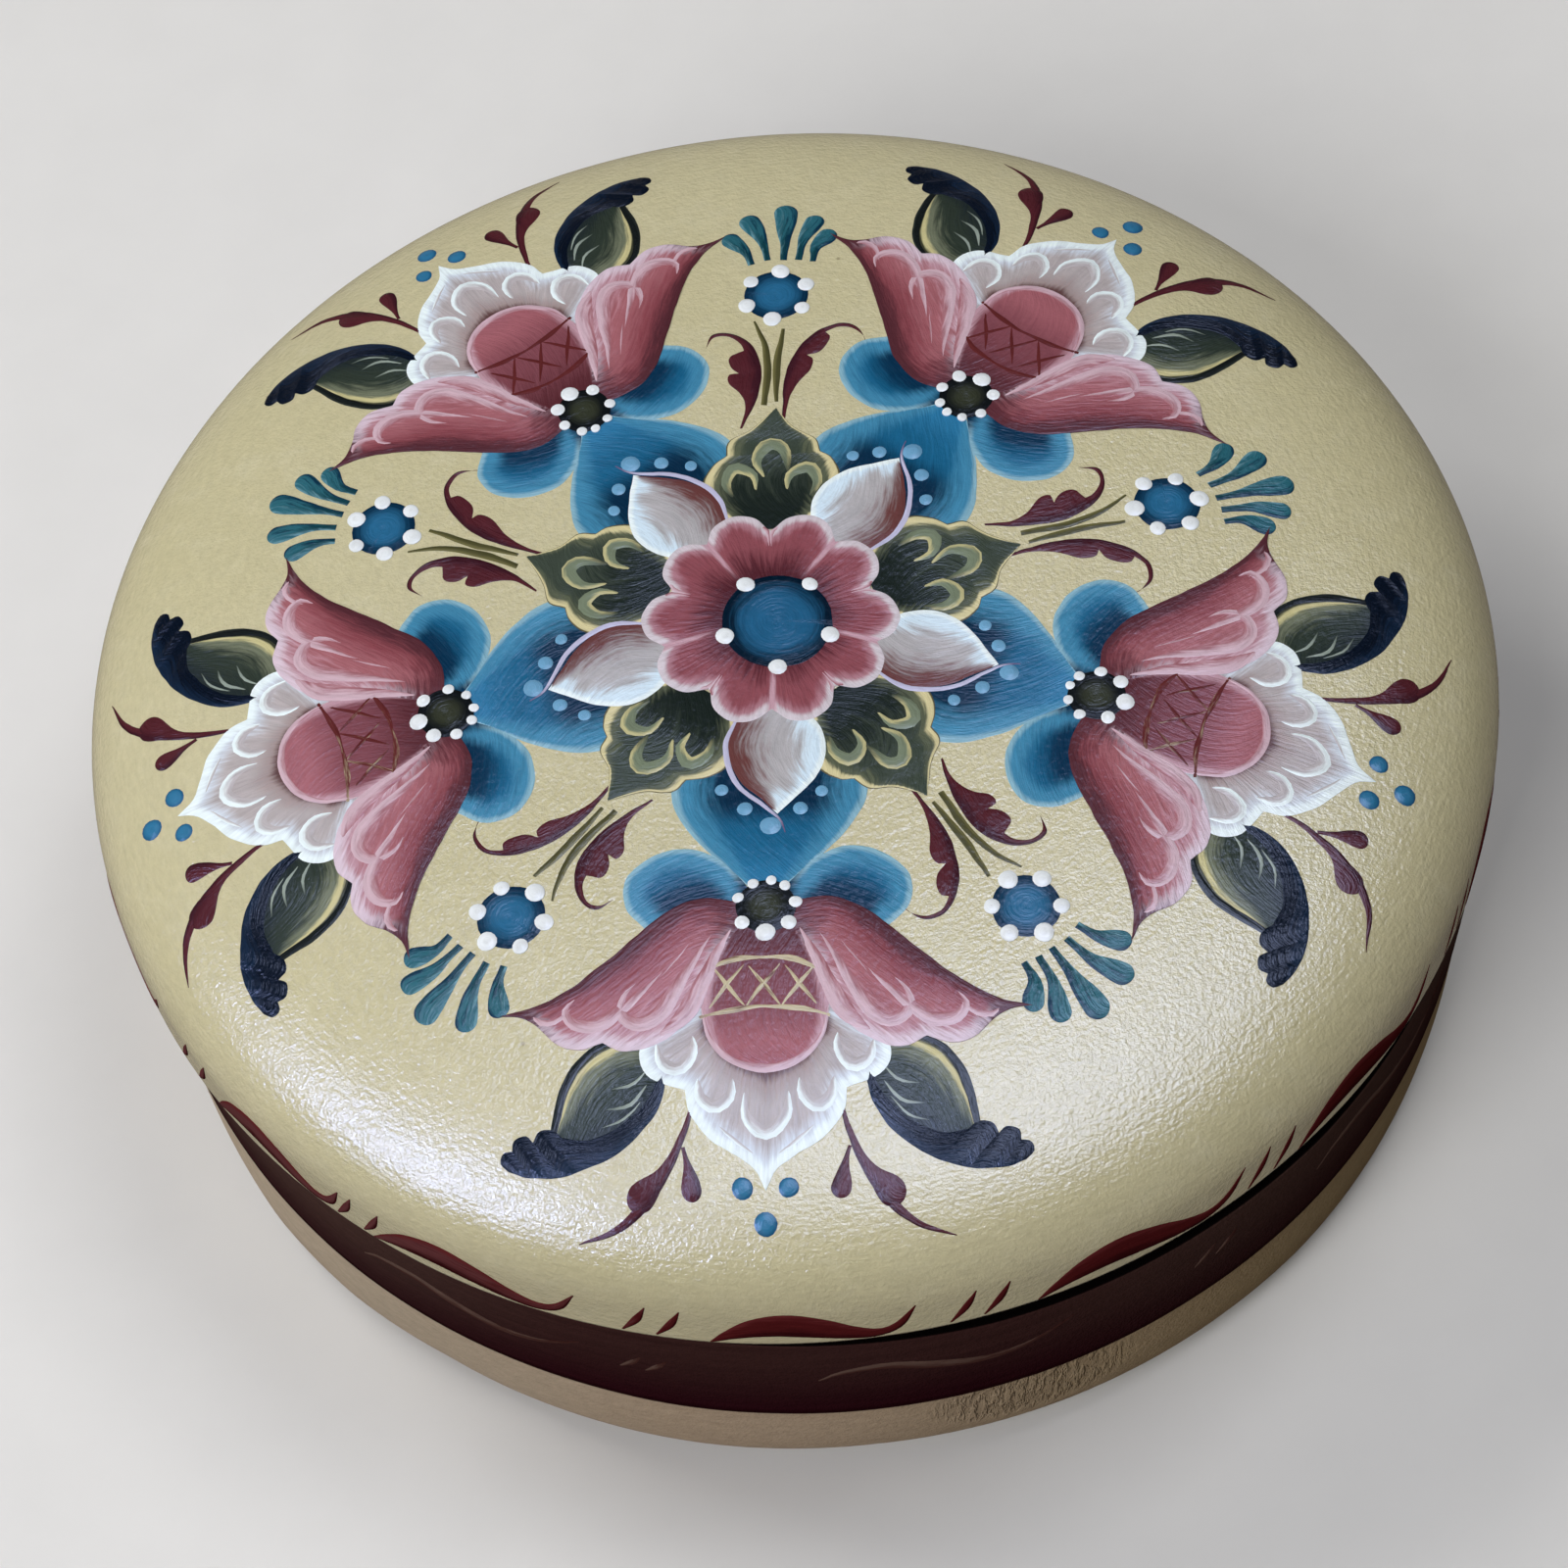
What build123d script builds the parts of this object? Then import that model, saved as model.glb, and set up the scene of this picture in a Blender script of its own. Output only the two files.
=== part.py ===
from build123d import *
from math import sqrt
import os

# A turned wooden trinket box: a bowl-shaped base and a domed lid that lifts straight off.
# Millimetres, +Z up, origin at the centre of the flat underside.

# Outside form
outer_diameter = 200.0      # over the widest ring, which lies on the lid
base_height = 45.0          # table to the seam between base and lid
lid_side = 8.0              # seam up to the widest ring
crown_rise = 18.5           # widest ring up to the top of the dome
side_inset = 4.1            # how far the wall draws in from the widest ring to the underside
foot_rounding = 7.0         # rounding between wall and underside

# Shape of a dome's curve: its pull at the crown and at the shoulder, as shares of its own span
crown_pull = 0.59
shoulder_pull = 1.0

# Walls
base_wall = 7.5             # wall of the base beside its floor
base_floor = 8.0
inside_rounding = 12.0      # hollow corner between floor and wall
crown_thickness = 7.0       # lid at its middle

# Where the lid seats on the base
shoulder_width = 3.9        # flat ring that the lid's rim rests on
spigot_thickness = 3.6
spigot_height = 6.0
lid_clearance = 0.3         # radial play between spigot and lid
spigot_headroom = 0.6       # space left over the spigot
rim_rounding = 0.5          # softened edges along the seam and at the mouth

# Worked out from the sizes above
outer_radius = outer_diameter / 2
widest_height = base_height + lid_side
overall_height = widest_height + crown_rise
side_curve_radius = (side_inset**2 + widest_height**2) / (2 * side_inset)


def side_point(height):
    """Point of the wall's outside at a height from the table up to the widest ring."""
    drop = widest_height - height
    radius = outer_radius - side_curve_radius + sqrt(side_curve_radius**2 - drop**2)
    return radius, height


def dome_points(radius, low, high):
    """Control points of a dome's curve from its middle out to its edge."""
    shoulder = low + shoulder_pull * (high - low)
    return (0, high), (crown_pull * radius, high), (radius, shoulder), (radius, low)


seam_radius = side_point(base_height)[0]
foot_radius = side_point(0)[0]
floor_radius = foot_radius - base_wall
spigot_radius = seam_radius - shoulder_width
mouth_radius = spigot_radius - spigot_thickness
spigot_top = base_height + spigot_height
rebate_radius = spigot_radius + lid_clearance
rebate_top = spigot_top + spigot_headroom
crown_inside = overall_height - crown_thickness

# Base: a bowl with a flat underside, a shoulder for the lid and a spigot inside that shoulder
with BuildPart() as base:
    with BuildSketch(Plane.XZ) as base_section:
        with BuildLine():
            ThreePointArc(side_point(0), side_point(base_height / 2), side_point(base_height))
            Polyline(
                side_point(base_height),
                (spigot_radius, base_height),
                (spigot_radius, spigot_top),
                (mouth_radius, spigot_top),
                (floor_radius, base_floor),
                (0, base_floor),
                (0, 0),
                side_point(0),
            )
        make_face()
        fillet(base_section.vertices().sort_by_distance(side_point(0))[0], foot_rounding)
        fillet(base_section.vertices().sort_by_distance((floor_radius, base_floor))[0], inside_rounding)
        for edge_point in (
            side_point(base_height),
            (spigot_radius, spigot_top),
            (mouth_radius, spigot_top),
        ):
            fillet(base_section.vertices().sort_by_distance(edge_point)[0], rim_rounding)
    revolve(axis=Axis.Z)
base.part.label = "base"

# Lid: a hollow dome whose rim stands on the shoulder and reaches down around the spigot
with BuildPart() as lid:
    with BuildSketch(Plane.XZ) as lid_section:
        with BuildLine():
            Bezier(*dome_points(outer_radius, widest_height, overall_height))
            ThreePointArc(
                side_point(widest_height),
                side_point(base_height + lid_side / 2),
                side_point(base_height),
            )
            Polyline(
                side_point(base_height),
                (rebate_radius, base_height),
                (rebate_radius, rebate_top),
                (mouth_radius, rebate_top),
            )
            Bezier(*dome_points(mouth_radius, rebate_top, crown_inside))
            Line((0, crown_inside), (0, overall_height))
        make_face()
        for edge_point in (
            side_point(base_height),
            (rebate_radius, base_height),
            (mouth_radius, rebate_top),
        ):
            fillet(lid_section.vertices().sort_by_distance(edge_point)[0], rim_rounding)
    revolve(axis=Axis.Z)
lid.part.label = "lid"

os.makedirs("parts", exist_ok=True)
for piece in (base.part, lid.part):
    export_step(piece, f"parts/{piece.label}.step")
    print(piece.label, round(piece.volume / 1000, 1), "cm3", piece.bounding_box().size)
print("overall height", overall_height, "seam radius", round(seam_radius, 2))
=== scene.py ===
# %% [markdown]
# # A painted trinket box
#
# The box is turned from wood: a shallow bowl-shaped base and a domed lid that lifts straight off.
# Both are painted, the lid cream and the base with a maroon band, and the lid carries a
# five-fold flower painting in the old folk manner, stroke by stroke.
#
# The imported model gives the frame. It is loaded first, and every size that it can give is read
# from it, so that the visible pieces stay where the solids are.

# %% The frame
from math import cos, pi, radians, sin, sqrt

import bmesh
import bpy
import numpy as np
from mathutils import Matrix, Vector


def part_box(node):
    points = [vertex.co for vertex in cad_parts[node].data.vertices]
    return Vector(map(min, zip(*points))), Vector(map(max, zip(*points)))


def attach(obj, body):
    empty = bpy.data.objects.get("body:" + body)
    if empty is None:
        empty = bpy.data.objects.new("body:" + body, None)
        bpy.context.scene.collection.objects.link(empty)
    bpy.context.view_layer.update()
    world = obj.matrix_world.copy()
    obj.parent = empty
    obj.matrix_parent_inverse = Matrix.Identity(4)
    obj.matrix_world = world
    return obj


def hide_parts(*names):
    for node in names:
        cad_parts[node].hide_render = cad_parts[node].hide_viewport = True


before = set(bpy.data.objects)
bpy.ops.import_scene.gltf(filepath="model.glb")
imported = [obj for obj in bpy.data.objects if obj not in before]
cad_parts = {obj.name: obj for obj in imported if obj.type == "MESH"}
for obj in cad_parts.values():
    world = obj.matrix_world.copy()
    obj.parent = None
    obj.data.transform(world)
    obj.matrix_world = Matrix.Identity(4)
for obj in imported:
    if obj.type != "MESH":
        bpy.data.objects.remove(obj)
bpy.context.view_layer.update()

MM = 0.001
lid_low, lid_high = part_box("lid")
outer_radius = lid_high[0] / MM
overall_height = lid_high[2] / MM
seam_height = lid_low[2] / MM
spigot_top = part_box("base")[1][2] / MM
print("radius", round(outer_radius, 1), "height", round(overall_height, 1), "seam", round(seam_height, 1))

# %% [markdown]
# ## Camera
#
# The photograph looks down on the box from the front, close enough for the near rim to look larger
# than the far one. The camera is set the way a photographer would say it: where it looks, how far
# away it stands, how steeply it looks down, and how much it leans. All of it is turned a little
# about the upright axis, because one tulip of the painting is taken as the front.

# %% Camera
look_at = Vector((-2.5, -4.8, 34.0)) * MM
camera_distance = 597.2 * MM
looking_down = radians(56.95)
leaning = radians(-6.76)
focal_length, film_width = 93.96, 36.0     # mm, as on a full-frame camera
front_turn = Matrix.Rotation(radians(6.2), 4, "Z")

ahead = Vector((0, cos(looking_down), -sin(looking_down)))
level_right = Vector((1, 0, 0))
level_up = Vector((0, sin(looking_down), cos(looking_down)))
right = level_right * cos(leaning) + level_up * sin(leaning)
up = level_up * cos(leaning) - level_right * sin(leaning)
turned = Matrix((right, up, -ahead)).transposed().to_4x4()

camera = bpy.data.objects.new("camera", bpy.data.cameras.new("camera"))
bpy.context.collection.objects.link(camera)
camera.data.lens = focal_length
camera.data.sensor_width = film_width
camera.matrix_world = front_turn @ Matrix.Translation(look_at - ahead * camera_distance) @ turned
bpy.context.scene.camera = camera
bpy.context.scene.view_settings.view_transform = "Standard"
print("camera at", [round(x, 3) for x in camera.matrix_world.translation])

# %% [markdown]
# ## Building node trees
#
# Materials and Geometry Nodes are both trees of nodes joined by links, and a few helpers keep the
# rest of the lesson short. `node` adds a node and fills its sockets with values or with other
# nodes' outputs, and most of the others add one kind of node with it. `colour` turns the usual 0
# to 255 numbers into the linear values that shaders work with.

# %% Helpers for nodes
def node(tree, kind, sockets=None, **settings):
    """Adds a node; sockets maps an input's name or number to a value or to another node's output."""
    made = tree.nodes.new(kind)
    made.location = (170 * (len(tree.nodes) % 12), -220 * (len(tree.nodes) // 12))
    for name, value in settings.items():
        setattr(made, name, value)
    for name, value in (sockets or {}).items():
        if isinstance(value, bpy.types.NodeSocket):
            tree.links.new(value, made.inputs[name])
        else:
            made.inputs[name].default_value = value
    return made


def calc(tree, operation, first, second=0.0, third=0.0):
    """A Math node's output."""
    sockets = {0: first, 1: second, 2: third}
    return node(tree, "ShaderNodeMath", sockets, operation=operation).outputs[0]


def vector_calc(tree, operation, first, second=(0.0, 0.0, 0.0)):
    """A Vector Math node's vector; SCALE takes a number as its second value."""
    sockets = {0: first, "Scale" if operation == "SCALE" else 1: second}
    return node(tree, "ShaderNodeVectorMath", sockets, operation=operation).outputs[0]


def vector(tree, x=0.0, y=0.0, z=0.0):
    """A vector made of three numbers."""
    return node(tree, "ShaderNodeCombineXYZ", {0: x, 1: y, 2: z}).outputs[0]


def parts_of(tree, place):
    """The x, y and z of a vector."""
    return node(tree, "ShaderNodeSeparateXYZ", {0: place}).outputs


def object_place(tree):
    """Where a point lies in its object's own coordinates, in metres."""
    return node(tree, "ShaderNodeTexCoord").outputs["Object"]


def colour(red, green, blue):
    """A colour as seen on a screen, 0 to 255, as a linear colour."""
    def linear(byte):
        share = byte / 255
        return share / 12.92 if share <= 0.04045 else ((share + 0.055) / 1.055) ** 2.4
    return linear(red), linear(green), linear(blue), 1.0


def mixed(tree, share, under, over):
    """The colour `under` with `over` laid on it by a share from 0 to 1."""
    made = node(tree, "ShaderNodeMix", data_type="RGBA")
    for socket, value in zip((made.inputs[0], made.inputs[6], made.inputs[7]), (share, under, over)):
        if isinstance(value, bpy.types.NodeSocket):
            tree.links.new(value, socket)
        else:
            socket.default_value = value
    return made.outputs[2]


def noise(tree, where, scale, detail=2.0, roughness=0.5):
    """A Noise Texture's grey value."""
    sockets = {"Vector": where, "Scale": scale, "Detail": detail, "Roughness": roughness}
    return node(tree, "ShaderNodeTexNoise", sockets).outputs[0]


def stretched(tree, where, scale):
    """Coordinates stretched along their axes, so that a pattern on them is squeezed or drawn out."""
    return node(tree, "ShaderNodeMapping", {"Vector": where, "Scale": scale}).outputs[0]


def ramp(tree, value, none_at, full_at):
    """0 where the value is none_at, 1 where it is full_at, with a soft start and end."""
    sockets = {"Value": value, "From Min": none_at, "From Max": full_at}
    return node(tree, "ShaderNodeMapRange", sockets, interpolation_type="SMOOTHSTEP").outputs[0]


def spread(tree, value, least, most, low=0.0, high=1.0):
    """A value between low and high, brought to between least and most."""
    sockets = {"Value": value, "From Min": low, "From Max": high, "To Min": least, "To Max": most}
    return node(tree, "ShaderNodeMapRange", sockets).outputs[0]


def roughen(tree, shader, height, strength, distance):
    """Lets the light fall as if the surface had this height."""
    bump = node(tree, "ShaderNodeBump", {"Height": height, "Strength": strength, "Distance": distance})
    tree.links.new(bump.outputs[0], shader.inputs["Normal"])


def new_material(name):
    """An empty material, its node tree and its Principled shader."""
    material = bpy.data.materials.new(name)
    material.use_nodes = True
    return material, material.node_tree, material.node_tree.nodes["Principled BSDF"]


# %% [markdown]
# ## Floor and light
#
# The stage is plain: a pale floor, a faint even sky, and soft boxes. Three white ones light the
# colours, and their directions and strengths were found from how the cream darkens round the dome
# in the photograph. What a glossy paint mirrors is set apart from that, as in a photo studio where
# cards are placed for the gleam alone: a bluish window card for the broad sheen on the left
# shoulder, and a weaker one overhead. Boxes of the first kind are hidden from glossy rays, and
# cards from diffuse ones.

# %% Floor and light
floor_half = 4.0
floor_mesh = bpy.data.meshes.new("floor")
floor_corners = [(x * floor_half, y * floor_half, 0) for x, y in ((-1, -1), (1, -1), (1, 1), (-1, 1))]
floor_mesh.from_pydata(floor_corners, [], [(0, 1, 2, 3)])
floor = bpy.data.objects.new("floor", floor_mesh)
bpy.context.collection.objects.link(floor)
floor_finish, tree, shader = new_material("floor_paper")
paper_grain = noise(tree, object_place(tree), 60.0, 4.0)
paper = mixed(tree, paper_grain, colour(226, 224, 220), colour(233, 231, 227))
seen = node(tree, "ShaderNodeLightPath").outputs["Is Camera Ray"]
tree.links.new(mixed(tree, seen, colour(146, 135, 118), paper), shader.inputs["Base Color"])
shader.inputs["Roughness"].default_value = 0.8
floor_mesh.materials.append(floor_finish)

world = bpy.data.worlds.new("pale_sky")
world.use_nodes = True
bpy.context.scene.world = world
sky = world.node_tree.nodes["Background"].inputs
sky["Color"].default_value = colour(240, 242, 246)
sky["Strength"].default_value = 0.03


def soft_box(name, around, above, distance, width, height, watts, tint, gleams=False):
    """A soft box that faces the box. around is in degrees from the front, positive to the right.

    One that gleams is seen in glossy paint only, and the others light the colours and give no gleam.
    """
    aim_height = 0.04
    turn, rise = radians(around), radians(above)
    place = Vector((sin(turn) * cos(rise), -cos(turn) * cos(rise), sin(rise))) * distance
    lamp = bpy.data.lights.new(name, "AREA")
    lamp.shape = "RECTANGLE"
    lamp.size = width
    lamp.size_y = height
    lamp.energy = watts
    lamp.color = tint[:3]
    holder = bpy.data.objects.new(name, lamp)
    bpy.context.collection.objects.link(holder)
    holder.location = place + Vector((0, 0, aim_height))
    holder.rotation_euler = place.to_track_quat("Z", "Y").to_euler()
    holder.visible_diffuse = not gleams
    holder.visible_glossy = gleams


WHITE_LIGHT = colour(255, 255, 255)
soft_box("front_left", -30, 40, 1.6, 0.7, 0.7, 13.4, WHITE_LIGHT)
soft_box("back_left", -120, 45, 1.6, 0.7, 0.7, 11.0, WHITE_LIGHT)
soft_box("back_right", 120, 70, 1.6, 0.7, 0.7, 7.0, WHITE_LIGHT)
soft_box("window_card", -54, 40, 1.3, 0.66, 0.40, 29.0, colour(178, 195, 255), gleams=True)
soft_box("ceiling_card", 80, 80, 1.6, 1.1, 1.1, 42.0, colour(198, 212, 255), gleams=True)
print("lights", [light.name for light in bpy.data.lights])

# %% [markdown]
# ## The section of a turned piece
#
# A turner works to a section: the line that the tool follows from the middle of the piece round its
# edge and back to the middle. The outside wall is a shallow arc, widest on the lid just above the
# seam. The crown is one curve, nearly flat in the middle and quickly rounding over at the shoulder.
# Each line is given by its formula, and every sharp corner is softened, because paint and
# handling never leave a true edge on wood.

# %% Section lines
lid_side = 8.0             # seam up to the widest ring
side_inset = 4.1           # how far the wall draws in from the widest ring to the underside
foot_rounding = 7.0
crown_pull = 0.59
shoulder_width = 3.9
spigot_thickness = 3.6
lid_clearance = 0.3
spigot_headroom = 0.6
crown_thickness = 7.0
base_floor = 8.0
base_wall = 7.5
inside_rounding = 12.0

widest_height = seam_height + lid_side
side_curve_radius = (side_inset**2 + widest_height**2) / (2 * side_inset)


def side_radius(height):
    """Radius of the outside wall at a height up to the widest ring."""
    drop = widest_height - height
    return outer_radius - side_curve_radius + sqrt(side_curve_radius**2 - drop**2)


def side_line(low, high, count):
    """Places down the outside wall, from a height to a lower one."""
    return [(side_radius(height), height) for height in np.linspace(high, low, count)]


def dome_line(radius, low, high, count):
    """Places from the middle of a dome out to its edge, along its curve."""
    corners = np.array([(0, high), (crown_pull * radius, high), (radius, high), (radius, low)])
    share = np.linspace(0, 1, count)[:, None]
    rest = 1 - share
    weights = np.hstack([rest**3, 3 * rest**2 * share, 3 * rest * share**2, share**3])
    return [tuple(place) for place in weights @ corners]


def softened(before, corner, after, reach, count=6):
    """A corner of the section, rounded by a curve that starts and ends `reach` away from it."""
    before, corner, after = Vector(before), Vector(corner), Vector(after)
    start = corner + (before - corner).normalized() * reach
    end = corner + (after - corner).normalized() * reach
    shares = np.linspace(0, 1, count)
    return [tuple(start * (1 - s)**2 + corner * 2 * s * (1 - s) + end * s**2) for s in shares]


seam_radius = side_radius(seam_height)
spigot_radius = seam_radius - shoulder_width
mouth_radius = spigot_radius - spigot_thickness
rebate_radius = spigot_radius + lid_clearance
rebate_top = spigot_top + spigot_headroom
foot_radius = side_radius(0)
floor_radius = foot_radius - base_wall
print("seam radius", round(seam_radius, 2), "mouth", round(mouth_radius, 2))

# %% [markdown]
# ## A lathe made of nodes
#
# The shape follows one rule, section times circle, so Geometry Nodes make it. The tree lays out a
# grid with one row for each place of the section and one column for each step round the axis, moves
# every grid point to its place, and joins the seam and the two poles. A little unevenness along
# the normals keeps the hand-turned look. The painted rows get the paint and all the others bare wood.
# A modifier could also spin the profile, but then the seam would need closing by hand.

# %% The lathe tree
def new_tree(name, inputs):
    """A Geometry Nodes tree with a geometry input and output and the named inputs besides."""
    tree = bpy.data.node_groups.new(name, "GeometryNodeTree")
    tree.interface.new_socket("Geometry", in_out="INPUT", socket_type="NodeSocketGeometry")
    tree.interface.new_socket("Geometry", in_out="OUTPUT", socket_type="NodeSocketGeometry")
    for label, kind in inputs:
        tree.interface.new_socket(label, in_out="INPUT", socket_type="NodeSocket" + kind)
    return tree, tree.nodes.new("NodeGroupInput").outputs


def put(tree, kind, shape, sockets=None):
    """The geometry that comes out of a node which changes `shape`."""
    return node(tree, "GeometryNode" + kind, {"Geometry": shape, **(sockets or {})}).outputs[0]


def dressed(tree, shape, finish):
    """The shape with all its copies made real, in its finish. Every tree ends with this."""
    return put(tree, "SetMaterial", put(tree, "RealizeInstances", shape), {"Material": finish})


lathe, given = new_tree("turned_piece", [
    ("Steps Round", "Int"), ("Painted Rows", "Float"), ("Unevenness", "Float"),
    ("Wood", "Material"), ("Paint", "Material"),
])
section_size = node(lathe, "GeometryNodeAttributeDomainSize", {"Geometry": given["Geometry"]})
rows = section_size.outputs["Point Count"]
columns = calc(lathe, "ADD", given["Steps Round"], 1.0)
grid = node(lathe, "GeometryNodeMeshGrid", {"Vertices X": columns, "Vertices Y": rows}).outputs["Mesh"]
index = node(lathe, "GeometryNodeInputIndex").outputs[0]
row = calc(lathe, "FLOORED_MODULO", index, rows)
column = calc(lathe, "FLOOR", calc(lathe, "DIVIDE", index, rows))
section_place = node(lathe, "GeometryNodeSampleIndex", {
    "Geometry": given["Geometry"],
    "Value": node(lathe, "GeometryNodeInputPosition").outputs[0],
    "Index": row,
}, data_type="FLOAT_VECTOR")
part = parts_of(lathe, section_place.outputs["Value"])
angle = calc(lathe, "DIVIDE", calc(lathe, "MULTIPLY", column, 2 * pi), given["Steps Round"])
east = calc(lathe, "MULTIPLY", part[0], calc(lathe, "COSINE", angle))
north = calc(lathe, "MULTIPLY", part[0], calc(lathe, "SINE", angle))
marked = put(lathe, "StoreNamedAttribute", grid, {"Name": "row", "Value": row})
turned_grid = put(lathe, "SetPosition", marked, {"Position": vector(lathe, east, north, part[2])})
joined = put(lathe, "MergeByDistance", turned_grid, {"Distance": 1e-6})
lumps = noise(lathe, node(lathe, "GeometryNodeInputPosition").outputs[0], 28.0, 1.0)
lump_height = calc(lathe, "MULTIPLY", calc(lathe, "SUBTRACT", lumps, 0.5), given["Unevenness"])
normal = node(lathe, "GeometryNodeInputNormal").outputs[0]
outward = vector_calc(lathe, "SCALE", normal, lump_height)
uneven = put(lathe, "SetPosition", joined, {"Offset": outward})
all_wood = dressed(lathe, put(lathe, "SetShadeSmooth", uneven), given["Wood"])
stored_row = node(lathe, "GeometryNodeInputNamedAttribute", {"Name": "row"}).outputs[0]
both = {0: stored_row, 1: given["Painted Rows"]}
painted = node(lathe, "FunctionNodeCompare", both, operation="LESS_THAN").outputs[0]
coated = put(lathe, "SetMaterial", all_wood, {"Selection": painted, "Material": given["Paint"]})
node(lathe, "NodeGroupOutput", {"Geometry": coated})
print("lathe tree", len(lathe.nodes), "nodes")

# %% [markdown]
# ## Running a tree and keeping its mesh
#
# A modifier's inputs are set by each socket's identifier before the piece is first evaluated.
# The evaluated result is then copied to a plain mesh, the modifier goes, and edges that are truly
# sharp are marked so that the rest can shade smoothly.

# %% From tree to plain mesh
def grown(name, mesh, tree, values, sharp_over=50.0):
    """An object whose plain mesh is what the tree makes of `mesh` with these input values."""
    piece = bpy.data.objects.new(name, mesh)
    bpy.context.collection.objects.link(piece)
    modifier = piece.modifiers.new("grow", "NODES")
    modifier.node_group = tree
    for item in tree.interface.items_tree:
        if item.in_out == "INPUT" and item.name in values:
            modifier[item.identifier] = values[item.name]
    piece.update_tag()
    depsgraph = bpy.context.evaluated_depsgraph_get()
    plain = bpy.data.meshes.new_from_object(
        piece.evaluated_get(depsgraph), preserve_all_data_layers=True, depsgraph=depsgraph)
    piece.modifiers.clear()
    piece.data = plain
    plain.name = name
    plain.set_sharp_from_angle(angle=radians(sharp_over))
    return piece


def volume_of(piece):
    """The space a closed mesh holds, in cubic millimetres; negative if it is inside out."""
    shell = bmesh.new()
    shell.from_mesh(piece.data)
    space = shell.calc_volume(signed=True)
    shell.free()
    return space / MM**3


def section_mesh(name, places):
    """The section as a chain of points in the upright plane, in metres."""
    mesh = bpy.data.meshes.new(name)
    points = [(radius * MM, 0, height * MM) for radius, height in places]
    mesh.from_pydata(points, [(k, k + 1) for k in range(len(points) - 1)], [])
    return mesh


# %% [markdown]
# ## Cream paint, maroon band and bare wood
#
# The lid's cream is an oil paint that was laid on with a soft brush. It is even from far away, but
# close up it has a fine pebbly skin, faint brush drag, slightly warmer and greener clouds, and a few
# specks of dust. The base has two such paints, a maroon band and a tan belly, that meet in a line
# drawn by hand, so one material mixes them by height with a slight waver. Inside the wood is bare
# and sealed: its rings show as long stripes because the blank was sawn along the tree.

# %% Ground paints and wood
def specks(tree, where, scale, size):
    """1 in a few small round specks, 0 elsewhere."""
    cells = node(tree, "ShaderNodeTexVoronoi", {"Vector": where, "Scale": scale})
    near = ramp(tree, cells.outputs["Distance"], size, size * 0.4)
    draw = node(tree, "ShaderNodeSeparateColor", {0: cells.outputs["Color"]}).outputs[0]
    chosen = ramp(tree, draw, 0.80, 0.82)
    return calc(tree, "MULTIPLY", near, chosen)


def round_the_axis(tree, where, along, across):
    """Coordinates that follow a turned piece round: few along the turning, many across it."""
    part = parts_of(tree, where)
    flat = vector(tree, part[0], part[1])
    turning = vector_calc(tree, "SCALE", vector_calc(tree, "NORMALIZE", flat), along)
    radius = node(tree, "ShaderNodeVectorMath", {0: flat}, operation="LENGTH").outputs["Value"]
    section = calc(tree, "MULTIPLY", calc(tree, "SUBTRACT", radius, part[2]), across)
    return vector_calc(tree, "ADD", turning, vector(tree, z=section))


def paint_skin(tree, shader, where, depth, gloss_low, gloss_high, damage=None):
    """The pebbly skin and brush drag that dried oil paint has, as bump and uneven gloss."""
    pebbles = noise(tree, where, 1400.0, 3.0, 0.6)
    drag = noise(tree, round_the_axis(tree, where, 18.0, 1300.0), 1.0, 2.0, 0.5)
    height = calc(tree, "MULTIPLY_ADD", drag, 0.4, pebbles)
    if damage:
        height = calc(tree, "ADD", height, damage)
    roughen(tree, shader, height, depth, 0.4 * MM)
    gloss = spread(tree, noise(tree, where, 140.0, 4.0), gloss_low, gloss_high)
    tree.links.new(gloss, shader.inputs["Roughness"])


def grainy(tree, where, paint, least, most):
    """The fine light and dark grain of a brushed coat, as shares of the paint's brightness."""
    grain = noise(tree, round_the_axis(tree, where, 45.0, 900.0), 1.0, 4.0, 0.7)
    brightness = spread(tree, grain, least, most, 0.25, 0.75)
    return node(tree, "ShaderNodeHueSaturation", {"Value": brightness, "Color": paint}).outputs[0]


cream_paint, tree, shader = new_material("cream_paint")
shader.inputs["Specular IOR Level"].default_value = 0.6
where = object_place(tree)
clouds = noise(tree, where, 16.0, 3.0)
cream = mixed(tree, ramp(tree, clouds, 0.3, 0.7), colour(202, 194, 156), colour(206, 198, 162))
mottle = noise(tree, where, 210.0, 4.0, 0.65)
cream = mixed(tree, ramp(tree, mottle, 0.45, 0.9), cream, colour(211, 204, 171))
dirt = calc(tree, "MULTIPLY", specks(tree, where, 120.0, 0.05), 0.5)
cream = mixed(tree, dirt, cream, colour(120, 104, 78))
# The lowest part of the lid darkens to brown towards the seam: a thin line of dark paint with painted
# shade of the seam.
seam_shade_edge = ramp(tree, parts_of(tree, where)[2], 46.2 * MM, 45.5 * MM)
cream = mixed(tree, seam_shade_edge, cream, colour(62, 44, 38))
tree.links.new(grainy(tree, where, cream, 0.91, 1.09), shader.inputs["Base Color"])
paint_skin(tree, shader, where, 0.52, 0.10, 0.20)

base_paint, tree, shader = new_material("base_paint")
where = object_place(tree)
band_foot = 19.6 * MM
left_slant = 0.014         # how much the line falls towards the right, left of the box's middle
right_slant = -0.005       # and right of it
place_here = parts_of(tree, where)
level_height = place_here[2]
for side, slant in (("MINIMUM", left_slant), ("MAXIMUM", right_slant)):
    level_height = calc(tree, "MULTIPLY_ADD", calc(tree, side, place_here[0], 0.0), slant, level_height)
waver = noise(tree, where, 22.0, 2.0)
line_height = calc(tree, "MULTIPLY_ADD", waver, 1.4 * MM, level_height)
in_band = ramp(tree, line_height, band_foot + 0.55 * MM, band_foot + 0.85 * MM)
streaks = noise(tree, stretched(tree, where, (25.0, 25.0, 700.0)), 1.0, 3.0)
tan = mixed(tree, streaks, colour(174, 154, 131), colour(192, 171, 148))
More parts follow.
